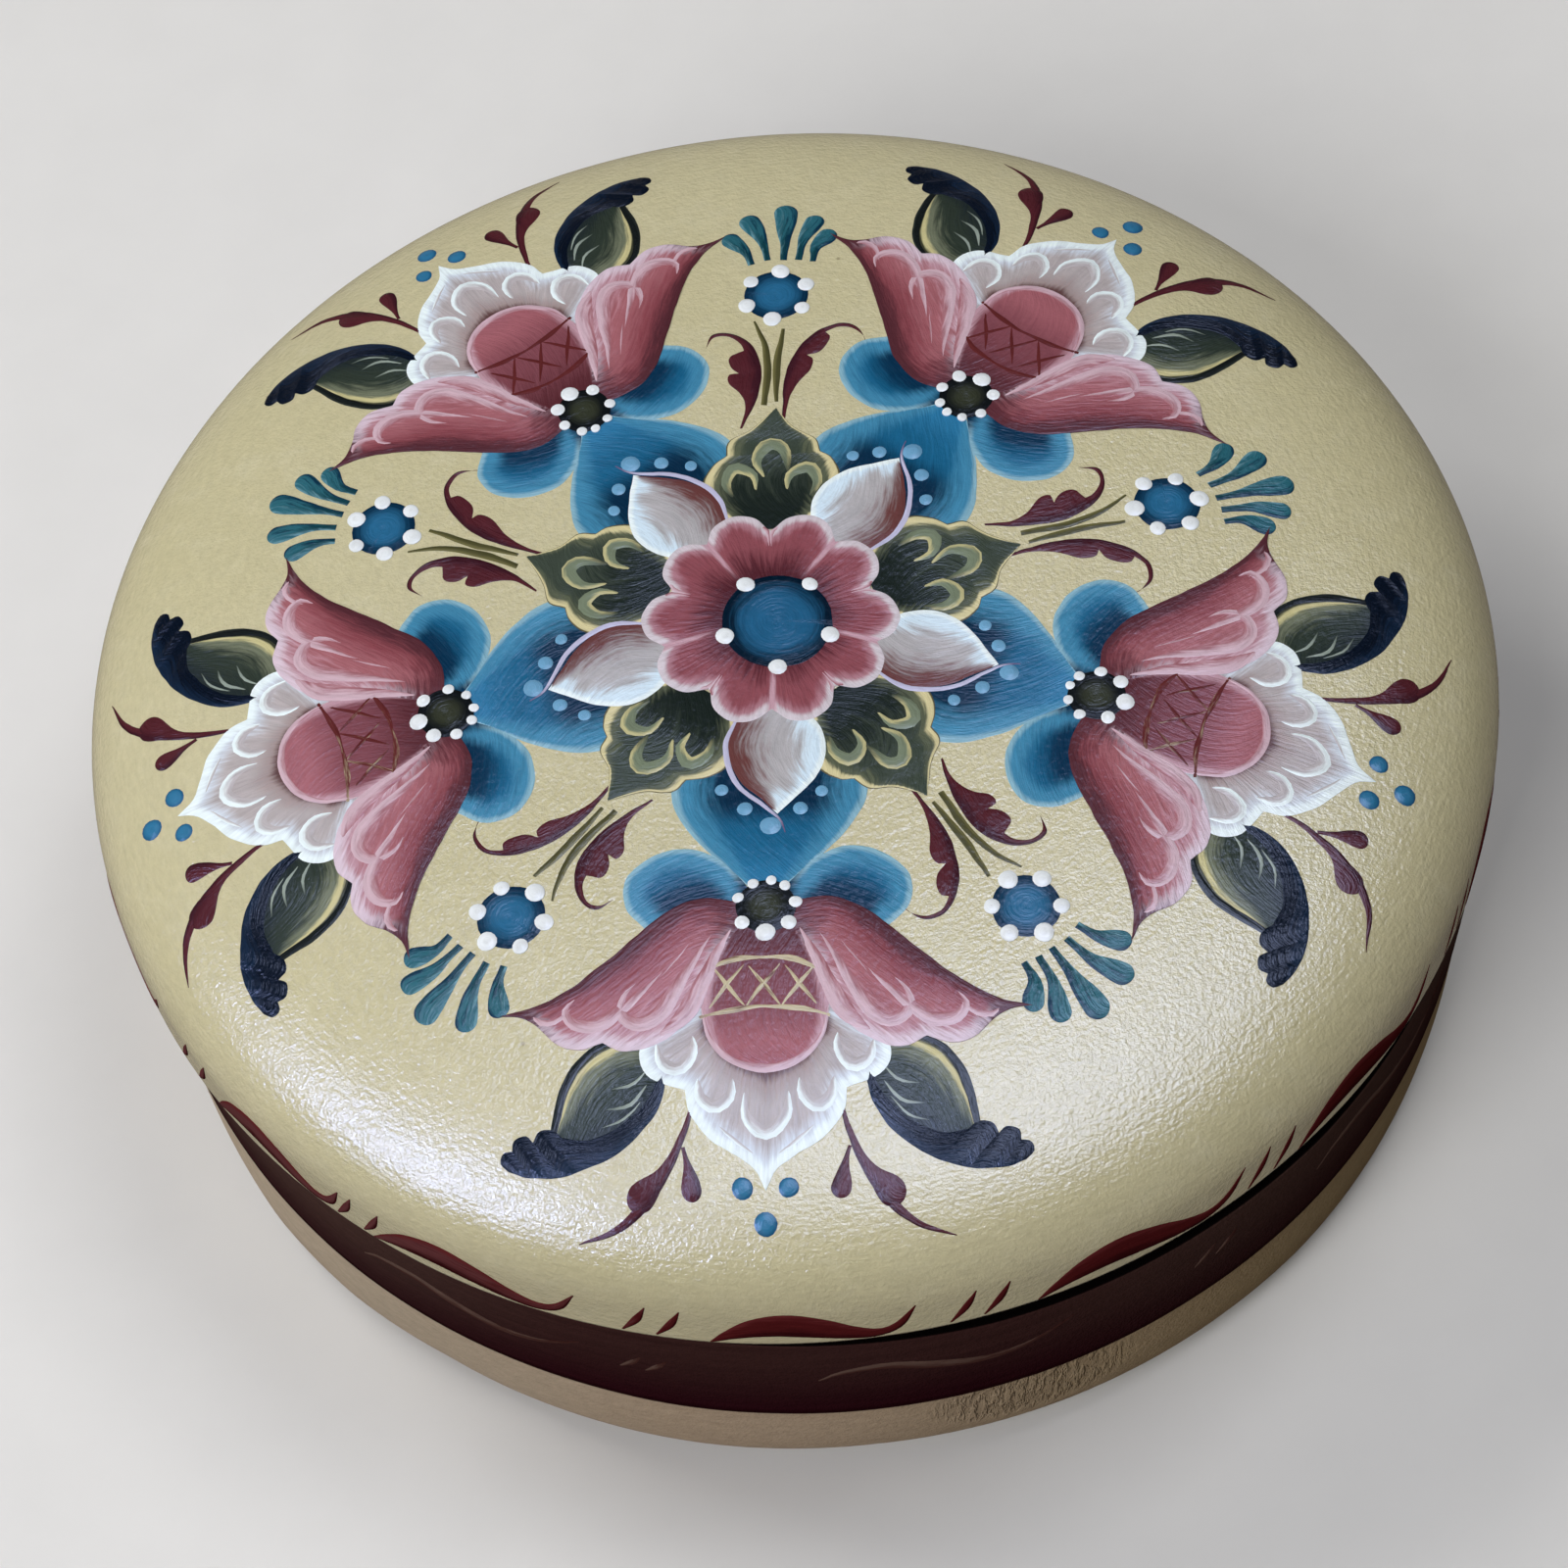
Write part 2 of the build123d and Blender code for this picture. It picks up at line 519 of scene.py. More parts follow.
dirt = calc(tree, "MULTIPLY", specks(tree, where, 150.0, 0.07), 0.7)
tan = mixed(tree, dirt, tan, colour(92, 70, 52))
# Painted light: the tan is darker on the right and lighter on the left, as the light falls from the left.
for full_at, side_light_tan in ((70 * MM, colour(158, 138, 106)), (-60 * MM, colour(192, 176, 154))):
    tan = mixed(tree, ramp(tree, place_here[0], -10 * MM, full_at), tan, side_light_tan)
# Painted sheen: the band is lighter and greyer towards its top, and a deep wine low down.
sheen_maroon = mixed(tree, streaks, colour(54, 33, 32), colour(70, 45, 43))
lower_maroon = mixed(tree, streaks, colour(38, 11, 18), colour(50, 17, 25))
sheen_towards_top = ramp(tree, line_height, 19.0 * MM, 42.0 * MM)
maroon = mixed(tree, sheen_towards_top, lower_maroon, sheen_maroon)
# Painted sheen: towards both sides the band turns lighter and greyer, more so high up.
sideways = ramp(tree, calc(tree, "ABSOLUTE", place_here[0]), 25.0 * MM, 72.0 * MM)
side_sheen = calc(tree, "MULTIPLY", sideways, calc(tree, "MULTIPLY_ADD", sheen_towards_top, 0.08, 0.06))
maroon = mixed(tree, side_sheen, maroon, colour(132, 113, 100))
near_line = ramp(tree, line_height, band_foot + 2.6 * MM, band_foot + 1.2 * MM)
band_edge = calc(tree, "MULTIPLY", calc(tree, "MULTIPLY", in_band, near_line), 0.6)
maroon = mixed(tree, band_edge, maroon, colour(26, 6, 8))
# Faces that look up, the shoulder seen in the gap under the lid, turn near black: dark paint with painted
# shade of the gap.
facing_up = parts_of(tree, node(tree, "ShaderNodeNewGeometry").outputs["Normal"])[2]
maroon = mixed(tree, ramp(tree, facing_up, 0.3, 0.8), maroon, colour(9, 6, 6))

# Torn grain low on the wall, a little to the right of the front
squares = []
for axis, middle, reach in ((0, 32.0, 14.0), (2, 14.5, 7.5)):
    span = calc(tree, "DIVIDE", calc(tree, "SUBTRACT", place_here[axis], middle * MM), reach * MM)
    squares.append(calc(tree, "MULTIPLY", span, span))
apart = calc(tree, "ADD", *squares)
torn = calc(tree, "MULTIPLY", ramp(tree, apart, 1.3, 0.2), ramp(tree, place_here[1], 0.0, -20 * MM))
torn = calc(tree, "MULTIPLY", torn, calc(tree, "SUBTRACT", 1.0, in_band))
fibres = noise(tree, stretched(tree, where, (900.0, 900.0, 230.0)), 1.0, 3.0, 0.6)
tears = calc(tree, "MULTIPLY", torn, ramp(tree, fibres, 0.62, 0.42))
tan = mixed(tree, calc(tree, "MULTIPLY", tears, 0.12), tan, colour(104, 84, 62))
painted = mixed(tree, in_band, tan, maroon)
tree.links.new(grainy(tree, where, painted, 0.88, 1.12), shader.inputs["Base Color"])
paint_skin(tree, shader, where, 0.7, 0.35, 0.5, damage=calc(tree, "MULTIPLY", tears, -2.2))
shader.inputs["Specular IOR Level"].default_value = 0.0

bare_wood, tree, shader = new_material("bare_wood")
where = object_place(tree)
bent = noise(tree, stretched(tree, where, (3.0, 14.0, 14.0)), 1.0, 3.0)
rings = node(tree, "ShaderNodeTexWave", {
    "Vector": stretched(tree, where, (2.0, 60.0, 60.0)), "Scale": 1.0, "Distortion": 5.0, "Detail": 3.0,
}, bands_direction="DIAGONAL").outputs[1]
fibres = noise(tree, stretched(tree, where, (60.0, 1400.0, 1400.0)), 1.0, 3.0)
wood = mixed(tree, ramp(tree, rings, 0.1, 0.95), colour(196, 160, 112), colour(174, 132, 86))
pores = calc(tree, "MULTIPLY", ramp(tree, fibres, 0.5, 0.75), 0.5)
wood = mixed(tree, pores, wood, colour(140, 100, 62))
wood = mixed(tree, calc(tree, "MULTIPLY", bent, 0.35), wood, colour(214, 182, 138))
tree.links.new(wood, shader.inputs["Base Color"])
shader.inputs["Roughness"].default_value = 0.5
roughen(tree, shader, fibres, 0.25, 0.3 * MM)
print("ground finishes", cream_paint.name, base_paint.name, bare_wood.name)

# %% [markdown]
# ## The lid
#
# The lid's section starts on top of the crown, comes down over the shoulder and the widest ring to
# the rim, turns in to the step that fits round the spigot, and goes back up under the dome.

# %% Turn the lid
steps_round = 300
turning_marks = 0.16 * MM      # how uneven the hand-turned skin is
crown_steps, hollow_steps, side_steps = 84, 60, 10
crown_inside = overall_height - crown_thickness
rim_corner = (seam_radius, seam_height)
step_low = (rebate_radius, seam_height)
step_high = (rebate_radius, rebate_top)
mouth_edge = (mouth_radius, rebate_top)
above_rim = (side_radius(seam_height + 1.5), seam_height + 1.5)
lid_painted = dome_line(outer_radius, widest_height, overall_height, crown_steps)
lid_painted += side_line(seam_height + 1.2, widest_height, side_steps)[1:]
lid_painted += softened(above_rim, rim_corner, step_low, 1.0)
lid_bare = softened(rim_corner, step_low, step_high, 0.6)
lid_bare += [(rebate_radius, height) for height in np.linspace(seam_height + 2, rebate_top - 1, 4)]
lid_bare += [step_high]
lid_bare += softened(step_high, mouth_edge, (mouth_radius - 0.3, rebate_top + 5), 0.5)
lid_bare += dome_line(mouth_radius, rebate_top, crown_inside, hollow_steps)[::-1][1:]

lid = grown("turned_lid", section_mesh("lid_section", lid_painted + lid_bare), lathe, {
    "Steps Round": steps_round, "Painted Rows": len(lid_painted) - 1.2, "Unevenness": turning_marks,
    "Wood": bare_wood, "Paint": cream_paint,
}, sharp_over=70.0)
print("lid wood", round(volume_of(lid) / 1000, 1), "cm3")

# %% [markdown]
# ## The base
#
# The base's section starts under the middle, goes out to the rounded foot, up the wall to the
# shoulder that the lid stands on, over the spigot that keeps the lid in place, and down the inside
# to the floor of the bowl.
#
# The wood has moved since it was turned: from the front round to the right a dark gap shows under
# the lid, and on the left the lid stands over the wall a little. In places the wall is also fuller
# below the band. All three are made on the finished mesh, by lowering the base's outer edge, by
# drawing its wall in and by swelling it low down.

# %% Turn the base
foot_corner = (foot_radius, 0)
inside_corner = (floor_radius, base_floor)
shoulder_corner = (spigot_radius, seam_height)
spigot_outer = (spigot_radius, spigot_top)
spigot_inner = (mouth_radius, spigot_top)
base_painted = [(radius, 0) for radius in np.linspace(0, foot_radius - foot_rounding - 1, 8)]
base_painted += softened((0, 0), foot_corner, (side_radius(10), 10), foot_rounding, count=12)
base_painted += side_line(foot_rounding + 1.5, seam_height - 0.8, count=34)[::-1]
base_painted += softened((side_radius(40), 40), rim_corner, shoulder_corner, 0.6)
base_bare = [(spigot_radius + 0.05, seam_height + 0.02)]
base_bare += [(spigot_radius, height) for height in np.linspace(seam_height + 0.6, spigot_top - 0.8, 4)]
base_bare += softened(shoulder_corner, spigot_outer, spigot_inner, 0.6)
base_bare += softened(spigot_outer, spigot_inner, inside_corner, 0.6)
wall_steps = np.linspace(0.05, 0.62, 12)
base_bare += [tuple(Vector(spigot_inner).lerp(Vector(inside_corner), step)) for step in wall_steps]
base_bare += softened(spigot_inner, inside_corner, (0, base_floor), inside_rounding, count=14)
base_bare += [(radius, base_floor) for radius in np.linspace(floor_radius - inside_rounding - 2, 0, 16)]

base = grown("turned_base", section_mesh("base_section", base_painted + base_bare), lathe, {
    "Steps Round": steps_round, "Painted Rows": len(base_painted) - 0.2, "Unevenness": turning_marks,
    "Wood": bare_wood, "Paint": base_paint,
}, sharp_over=70.0)

# Each table: degrees from the front towards the right, and how much, in mm
gap_angles = (-12.0, 6.0, 16.0, 46.0, 66.0, 100.0, 160.0)
gap_heights = (0.0, 1.5, 2.4, 2.7, 1.4, 0.8, 0.0)
inset_angles = (-180.0, -110.0, -57.0, -10.0, 20.0, 46.0, 66.0, 120.0, 180.0)
insets = (0.6, 1.4, 1.7, 0.6, 0.05, 0.05, 0.5, 0.6, 0.6)
swell_angles = (-70.0, -52.0, -42.0, -32.0, -9.0, 6.0, 26.0, 46.0, 66.0, 95.0)
swells = (0.0, 0.9, 0.7, 0.0, 0.4, 0.4, 0.75, 1.1, 0.6, 0.0)
gap_reach = 9.0            # how far down the wall the lowering is felt
swell_reach = 12.0         # how far down the swelling takes to grow, from just above the band's foot
wall_from = 87.0           # radius past which a place belongs to the wall


def settle_edge(piece):
    """Draws the wall in under the lid, swells it below the band and lowers its edge."""
    places = np.empty(len(piece.data.vertices) * 3)
    piece.data.vertices.foreach_get("co", places)
    places = places.reshape(-1, 3)
    around = np.degrees(np.arctan2(places[:, 0], -places[:, 1]))
    radius = np.hypot(places[:, 0], places[:, 1]) / MM
    below_seam = seam_height - places[:, 2] / MM
    outer_edge = (radius > spigot_radius + 0.02) & (below_seam > -0.2)
    fade = np.clip(1 - below_seam / gap_reach, 0, 1) * outer_edge
    lowered = np.interp(around, gap_angles, gap_heights) * fade**2 * (3 - 2 * fade)
    places[:, 2] -= lowered * MM
    on_wall = np.clip((radius - spigot_radius) / shoulder_width, 0, 1)
    low_down = np.clip((band_foot / MM + 2 - places[:, 2] / MM) / swell_reach, 0, 1)
    low_down *= np.clip(radius - wall_from, 0, 1)
    moved = np.interp(around, swell_angles, swells) * low_down**2 * (3 - 2 * low_down)
    moved -= np.interp(around, inset_angles, insets) * on_wall
    places[:, :2] *= 1 + (moved / np.maximum(radius, 1))[:, None]
    piece.data.vertices.foreach_set("co", places.ravel())
    piece.data.update()
    return lowered.max()


print("edge lowered up to", round(settle_edge(base), 2), "mm")
print("base wood", round(volume_of(base) / 1000, 1), "cm3")

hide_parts("lid")
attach(lid, "lid")
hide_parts("base")
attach(base, "base")

# %% [markdown]
# ## A way to paint
#
# The painting is made as paint: every petal, leaf and comma is a thin closed film of its own, laid
# over the ones before it, so the order of work is the painter's. An image could show the
# same picture, but it would have no thickness, and the soft blends would be fixed in its pixels.
#
# A film is drawn flat, in millimetres, between two lines that run the same way: the near
# line and the far line. Every point of it knows how far along and across the film it
# lies, and how many millimetres it is from the far line. The materials blend their colours by
# those three numbers. A second set of numbers, in millimetres, makes the brush streaks follow the
# stroke.

# %% Drawing lines
def smooth(points):
    """Close places along a smooth line through three or more points."""
    steps = 14
    marks = np.array(points, float)
    marks = np.vstack([2 * marks[0] - marks[1], marks, 2 * marks[-1] - marks[-2]])
    share = np.linspace(0, 1, steps, endpoint=False)[:, None]
    line = []
    for a, b, c, d in zip(marks, marks[1:], marks[2:], marks[3:]):
        bend = (2 * a - 5 * b + 4 * c - d) * share**2 + (3 * b - a - 3 * c + d) * share**3
        line.append(0.5 * (2 * b + (c - a) * share + bend))
    return np.vstack([*line, marks[-2:-1]])


def reach_along(line):
    """How far along the line each of its places is."""
    return np.concatenate([[0], np.cumsum(np.linalg.norm(np.diff(line, axis=0), axis=1))])


def drawn(runs, count):
    """Evenly spaced places along a line drawn in smooth runs, with a corner where two runs meet."""
    lines = [smooth(run) for run in runs]
    ends = np.cumsum([0] + [reach_along(line)[-1] for line in lines])
    stops = np.round(ends / ends[-1] * (count - 1)).astype(int)
    places = [lines[0][:1]]
    for line, first, last in zip(lines, stops, stops[1:]):
        reach = reach_along(line)
        wanted = np.linspace(0, reach[-1], last - first + 1)[1:]
        places.append(np.column_stack([np.interp(wanted, reach, line[:, axis]) for axis in (0, 1)]))
    return np.vstack(places)


def flipped(points, side):
    """The points, or the same on the other side of the motif's middle line for side -1."""
    return [(x * side, y) for x, y in points]


def ring(centre, radius, start=0.0, end=360.0, count=25):
    """Places round a circle or an arc of it, in degrees from +X."""
    angles = np.radians(np.linspace(start, end, count))
    return np.column_stack([centre[0] + radius * np.cos(angles), centre[1] + radius * np.sin(angles)])


# %% [markdown]
# ## Films, strokes and dots
#
# `film` lays the paint between two lines. `stroke` draws both lines from one middle line and a
# list of widths, as a brush does when it is pressed and lifted. `teardrop` is a stroke that ends in
# a round head. `dot` is a small raised disc, left by the butt end of a brush. All are closed shells:
# a top, an underside just below the surface, and a thin wall. `layer` counts the coats, so that a
# later film always covers an earlier one. A motif with two like sides is drawn on its right side
# only, and `mirror` adds the left one with its faces turned round, so that they still face outwards.

# %% The paint box
LAYER = 0.035              # thickness of one coat, mm
SUNK = -0.06               # underside of every film, just below the surface
SOFT_EDGE = 0.35           # how far in from its edge a film has nearly its full height


class Painting:
    """The films of one paint, gathered before they are laid on the wood."""

    def __init__(self):
        self.places, self.faces, self.blend, self.brush = [], [], [], []
        self.films = 0

    def film(self, near, far, layer, swell=0.04, rows=12, closed=False, domed=False, crosswise=False):
        """Paint between two lines; swell is how far it stands up, crosswise turns the brush streaks."""
        self.films += 1
        near, far = np.asarray(near, float), np.asarray(far, float)
        count = len(near)
        across = 0.5 - 0.5 * np.cos(np.linspace(0, pi, rows))
        along = np.linspace(0, 1, count)
        flat = near[None] * (1 - across)[:, None, None] + far[None] * across[:, None, None]
        rim_gap = far[None, None] - flat[:, :, None]
        edge = np.linalg.norm(rim_gap, axis=3).min(axis=2)
        if domed:
            rise = swell * (1 - across**3)[:, None] * np.ones(count)
        else:
            border = np.vstack([near, far, flat[:, 0], flat[:, -1]])
            if closed:
                border = np.vstack([near, far])
            inset = np.linalg.norm(border[None, None] - flat[:, :, None], axis=3).min(axis=2)
            rise = swell * (1 - np.exp(-inset / SOFT_EDGE))
        length = (reach_along(near) + reach_along(far)) / 2
        width = np.linalg.norm(far - near, axis=1)
        tone = (self.films * 0.618) % 1.0
        top = np.dstack([flat, layer * LAYER + rise]).reshape(-1, 3)
        floor_places = np.dstack([flat, np.full(edge.shape, SUNK)]).reshape(-1, 3)
        blend = np.dstack(np.broadcast_arrays(along[None], across[:, None], edge)).reshape(-1, 3)
        pull = (length[None], across[:, None] * width)
        if crosswise:
            pull = pull[::-1]
        brush = np.dstack(np.broadcast_arrays(*pull, tone)).reshape(-1, 3)
        self._shell(top, floor_places, blend, brush, rows, count, closed)

    def _shell(self, top, under, blend, brush, rows, count, closed):
        """Joins top and underside into a closed shell, and turns it right side out."""
        total = rows * count
        corner = [[row * count + column % (count - 1 if closed else count) for column in range(count)]
                  for row in range(rows)]
        quads, rim = [], []
        for row in range(rows - 1):
            for column in range(count - 1):
                quads.append((corner[row][column], corner[row][column + 1],
                              corner[row + 1][column + 1], corner[row + 1][column]))
        for column in range(count - 1):
            rim.append((corner[0][column], corner[0][column + 1]))
            rim.append((corner[-1][column + 1], corner[-1][column]))
        if not closed:
            for row in range(rows - 1):
                rim.append((corner[row][-1], corner[row + 1][-1]))
                rim.append((corner[row + 1][0], corner[row][0]))
        faces = quads + [tuple(total + k for k in reversed(quad)) for quad in quads]
        faces += [(b, a, a + total, b + total) for a, b in rim]
        every = np.vstack([top, under])
        x, y = top[:, 0], top[:, 1]
        turned_area = sum(x[a] * y[b] - x[b] * y[a]
                          for quad in quads for a, b in zip(quad, quad[1:] + quad[:1]))
        _, first, same = np.unique(np.round(every, 4), axis=0, return_index=True, return_inverse=True)
        same = same.ravel()
        start = len(self.places)
        for face in faces:
            corners = [int(same[k]) for k in (face if turned_area > 0 else face[::-1])]
            distinct = [k for k, before in zip(corners, corners[-1:] + corners[:-1]) if k != before]
            if len(set(distinct)) > 2:
                self.faces.append([start + k for k in distinct])
        self.places.extend(every[first])
        self.blend.extend(np.vstack([blend, blend])[first])
        self.brush.extend(np.vstack([brush, brush])[first])

    def stroke(self, points, widths, layer, rows=5):
        """One pull of the brush along a smooth line; the widths are read evenly along it."""
        step, least_steps, swell = 0.8, 6, 0.09
        count = max(least_steps, int(reach_along(smooth(points))[-1] / step))
        line = drawn([points], count)
        press = smooth([(k, width) for k, width in enumerate(widths)])
        half = np.interp(np.linspace(0, len(widths) - 1, count), press[:, 0], press[:, 1])[:, None] / 2
        self.band(line, half, layer, swell, rows)

    def strokes(self, layer, *pulls):
        """Several strokes of one coat, each given as its places and its widths."""
        for points, widths in pulls:
            self.stroke(points, widths, layer)

    def band(self, line, half, layer, swell, rows):
        """A film as far on either side of a line as the half widths say."""
        heading = np.gradient(line, axis=0)
        heading /= np.linalg.norm(heading, axis=1)[:, None]
        aside = np.column_stack([-heading[:, 1], heading[:, 0]]) * np.maximum(half, 0.04)
        self.film(line - aside, line + aside, layer, swell, rows)

    def disc(self, middle, radius, layer, swell, rows, around, domed=False):
        """A round film."""
        rim = ring(middle, radius, count=around + 1)
        self.film(np.tile(middle, (around + 1, 1)), rim, layer, swell, rows, closed=True, domed=domed)

    def dot(self, middle, radius, layer):
        """A round dot of thick paint."""
        self.disc(middle, radius, layer, swell=0.16 * radius, rows=5, around=14, domed=True)

    def teardrop(self, points, stem, radius, layer):
        """A stroke that starts as thin as its stem and swells to a round head at the last point."""
        step, least_steps, head_steps, swell, rows = 0.7, 6, 8, 0.10, 7
        line = smooth(points)
        reach = reach_along(line)
        body = reach[-1]
        shank = np.linspace(0, body, max(least_steps, int(body / step)), endpoint=False)
        quarter = np.linspace(0, pi / 2, head_steps)
        grown_share = (shank / body)**2 * (3 - 2 * shank / body)
        shank_half = stem / 2 + (radius - stem / 2) * grown_share**1.5
        half = np.concatenate([shank_half, radius * np.cos(quarter)])
        heading = line[-1] - line[-2]
        heading /= np.linalg.norm(heading)
        spine = np.column_stack([np.interp(shank, reach, line[:, axis]) for axis in (0, 1)])
        spine = np.vstack([spine, line[-1] + heading * radius * np.sin(quarter)[:, None]])
        self.band(spine, half[:, None], layer, swell, rows)

    def mirror(self):
        """Adds every film once more on the left of the motif's middle line."""
        start = len(self.places)
        self.places += [(-x, y, z) for x, y, z in self.places]
        self.faces += [[start + k for k in reversed(face)] for face in self.faces]
        self.blend += list(self.blend)
        self.brush += [(along, across, (tone + 0.37) % 1) for along, across, tone in self.brush]
        self.films *= 2

    def mesh(self, name, turned_by=0.0):
        """All films as one flat mesh in metres, turned by degrees about the middle."""
        turn = Matrix.Rotation(radians(turned_by), 3, "Z")
        mesh = bpy.data.meshes.new(name)
        places = np.array(self.places) @ np.array(turn).T * MM
        mesh.from_pydata(places.tolist(), [], self.faces)
        for label, values in (("blend", self.blend), ("brush", self.brush)):
            layer = mesh.attributes.new(label, "FLOAT_VECTOR", "POINT")
            layer.data.foreach_set("vector", np.array(values, dtype=np.float32).ravel())
        mesh.shade_smooth()
        return mesh


# %% [markdown]
# ## Laying the painting on the dome
#
# The painter divides the lid in five and repeats the motif. The tree does the same: it puts five
# copies round the pattern's middle, each turned by a fifth. A slow waver moves them by a fraction of
# a millimetre, so that no two are quite alike, and a quick small tremble roughens their outlines as a
# bristle brush does. Every point is then dropped straight down on the lid with a ray, and the film's
# own height is added to where the ray hits. A Shrinkwrap modifier could lay one motif down as well,
# but it wouldn't repeat it or keep the film's thickness.

# %% The tree that repeats a motif
def part_way(tree, place, height):
    """The place at another height."""
    parts = parts_of(tree, place)
    return vector(tree, parts[0], parts[1], height)


def where_rays_hit(tree, surface, start, direction):
    """Where rays from the start in a direction meet the surface object."""
    target = node(tree, "GeometryNodeObjectInfo", {"Object": surface}).outputs["Geometry"]
    return node(tree, "GeometryNodeRaycast", {
        "Target Geometry": target, "Source Position": start, "Ray Direction": direction, "Ray Length": 1.0,
    }).outputs["Hit Position"]


clear_of_box = 0.3         # m; rays start this far above the table or out from the axis
tree, given = new_tree("paint_round_the_lid", [
    ("Times", "Int"), ("Middle", "Vector"), ("Waver", "Float"), ("Tremble", "Float"),
    ("Surface", "Object"), ("Paint", "Material"),
])
starts = node(tree, "GeometryNodeMeshLine", {
    "Count": given["Times"], "Start Location": given["Middle"], "Offset": (0.0, 0.0, 0.0)})
which = node(tree, "GeometryNodeInputIndex").outputs[0]
fifth = calc(tree, "DIVIDE", calc(tree, "MULTIPLY", which, 2 * pi), given["Times"])
copies = node(tree, "GeometryNodeInstanceOnPoints", {
    "Points": starts.outputs[0], "Instance": given["Geometry"], "Rotation": vector(tree, z=fifth)})
loose = put(tree, "RealizeInstances", copies.outputs[0])
flat_place = node(tree, "GeometryNodeInputPosition").outputs[0]
flat_only = part_way(tree, flat_place, 0.0)
moved = flat_only
for reach, scale in (("Waver", 24.0), ("Tremble", 260.0)):
    wander = node(tree, "ShaderNodeTexNoise", {"Vector": flat_only, "Scale": scale, "Detail": 1.0})
    centred = vector_calc(tree, "SUBTRACT", wander.outputs["Color"], (0.5, 0.5, 0.5))
    pushed = vector_calc(tree, "SCALE", centred, given[reach])
    moved = vector_calc(tree, "ADD", moved, pushed)
above_all = part_way(tree, moved, clear_of_box)
hit = where_rays_hit(tree, given["Surface"], above_all, (0.0, 0.0, -1.0))
film_top = calc(tree, "ADD", parts_of(tree, hit)[2], parts_of(tree, flat_place)[2])
laid = put(tree, "SetPosition", loose, {"Position": part_way(tree, moved, film_top)})
node(tree, "NodeGroupOutput", {"Geometry": dressed(tree, laid, given["Paint"])})
round_pattern = tree
print("pattern tree", len(round_pattern.nodes), "nodes")

# %% [markdown]
# The borders round the rim and the band are drawn on a straight strip, as long as the way round the
# wall. Their tree bends the strip round the axis, and lays each point on the wall with a ray that
# comes from outside.

# %% The tree that bends a border
tree, given = new_tree("paint_round_the_wall", [
    ("Start Angle", "Float"), ("Radius", "Float"), ("Surface", "Object"), ("Paint", "Material"),
])
strip_part = parts_of(tree, node(tree, "GeometryNodeInputPosition").outputs[0])
bend = calc(tree, "ADD", calc(tree, "DIVIDE", strip_part[0], given["Radius"]), given["Start Angle"])
heading = vector(tree, calc(tree, "COSINE", bend), calc(tree, "SINE", bend))
outside = vector_calc(tree, "ADD", vector_calc(tree, "SCALE", heading, clear_of_box),
                      vector(tree, z=strip_part[1]))
inwards = vector_calc(tree, "SCALE", heading, -1.0)
skin = vector_calc(tree, "ADD", where_rays_hit(tree, given["Surface"], outside, inwards),
                   vector_calc(tree, "SCALE", heading, strip_part[2]))
laid = put(tree, "SetPosition", given["Geometry"], {"Position": skin})
node(tree, "NodeGroupOutput", {"Geometry": dressed(tree, laid, given["Paint"])})
round_wall = tree
print("border tree", len(round_wall.nodes), "nodes")

# %% [markdown]
# ## Oil paints
#
# Folk painters blend wet in wet: a brush loaded with two colours leaves one along its near
# edge and the other along its far edge, with fine streaks between. Each paint here starts from its
# body colour, and every `coat` lays another colour over it, from where it has no strength to where
# it covers, measured along or across the film, in millimetres from its far line, or in millimetres
# towards the box's front or its left. Streaks that follow the brush break up every blend and give the
# film its ridges.

# %% Mixing an oil paint
def oil_paint(name, body, coats=(), raggedness=0.3, gloss=(0.18, 0.28), ridges=0.45, shine=0.25):
    """A paint whose coats are (measure, none_at, full_at, colour[, within]) over its body colour.

    Colours are given as seen on a screen, 0 to 255.
    """
    material, tree, shader = new_material(name)
    blend = node(tree, "ShaderNodeAttribute", attribute_name="blend").outputs["Vector"]
    brush = node(tree, "ShaderNodeAttribute", attribute_name="brush").outputs["Vector"]
    measures = dict(zip(("along", "across", "edge"), parts_of(tree, blend)))
    place = object_place(tree)
    for measure, part in zip(("left", "front"), parts_of(tree, place)):
        measures[measure] = calc(tree, "MULTIPLY", part, -1 / MM)
    bristles = noise(tree, stretched(tree, brush, (0.25, 1.9, 9.0)), 1.0, 4.0, 0.6)
    patches = noise(tree, stretched(tree, brush, (0.22, 0.5, 9.0)), 1.0, 2.0)
    ragged = calc(tree, "MULTIPLY", calc(tree, "SUBTRACT", bristles, 0.5), raggedness * 2)

    def strength(measure, none_at, full_at):
        sockets = {"Value": measures[measure], "From Min": none_at, "From Max": full_at}
        reach = node(tree, "ShaderNodeMapRange", sockets, clamp=False).outputs[0]
        return ramp(tree, calc(tree, "ADD", reach, ragged), 0.0, 1.0)

    full_body = colour(*body)
    thin_body = tuple(part * 0.92 for part in full_body[:3]) + (1,)
    shade = mixed(tree, ramp(tree, patches, 0.3, 0.7), thin_body, full_body)
    for measure, none_at, full_at, over, *within in coats:
        share = strength(measure, none_at, full_at)
        if within:
            share = calc(tree, "MULTIPLY", share, strength(*within[0]))
        shade = mixed(tree, share, shade, colour(*over))
    lightness = spread(tree, bristles, 0.74, 1.26)
    shade = node(tree, "ShaderNodeHueSaturation", {"Value": lightness, "Color": shade}).outputs[0]
    tree.links.new(shade, shader.inputs["Base Color"])
    tree.links.new(spread(tree, patches, *gloss), shader.inputs["Roughness"])
    height = calc(tree, "MULTIPLY_ADD", noise(tree, place, 1100.0, 2.0), 0.5, bristles)
    roughen(tree, shader, height, ridges, 0.3 * MM)
    shader.inputs["Specular IOR Level"].default_value = shine
    return material


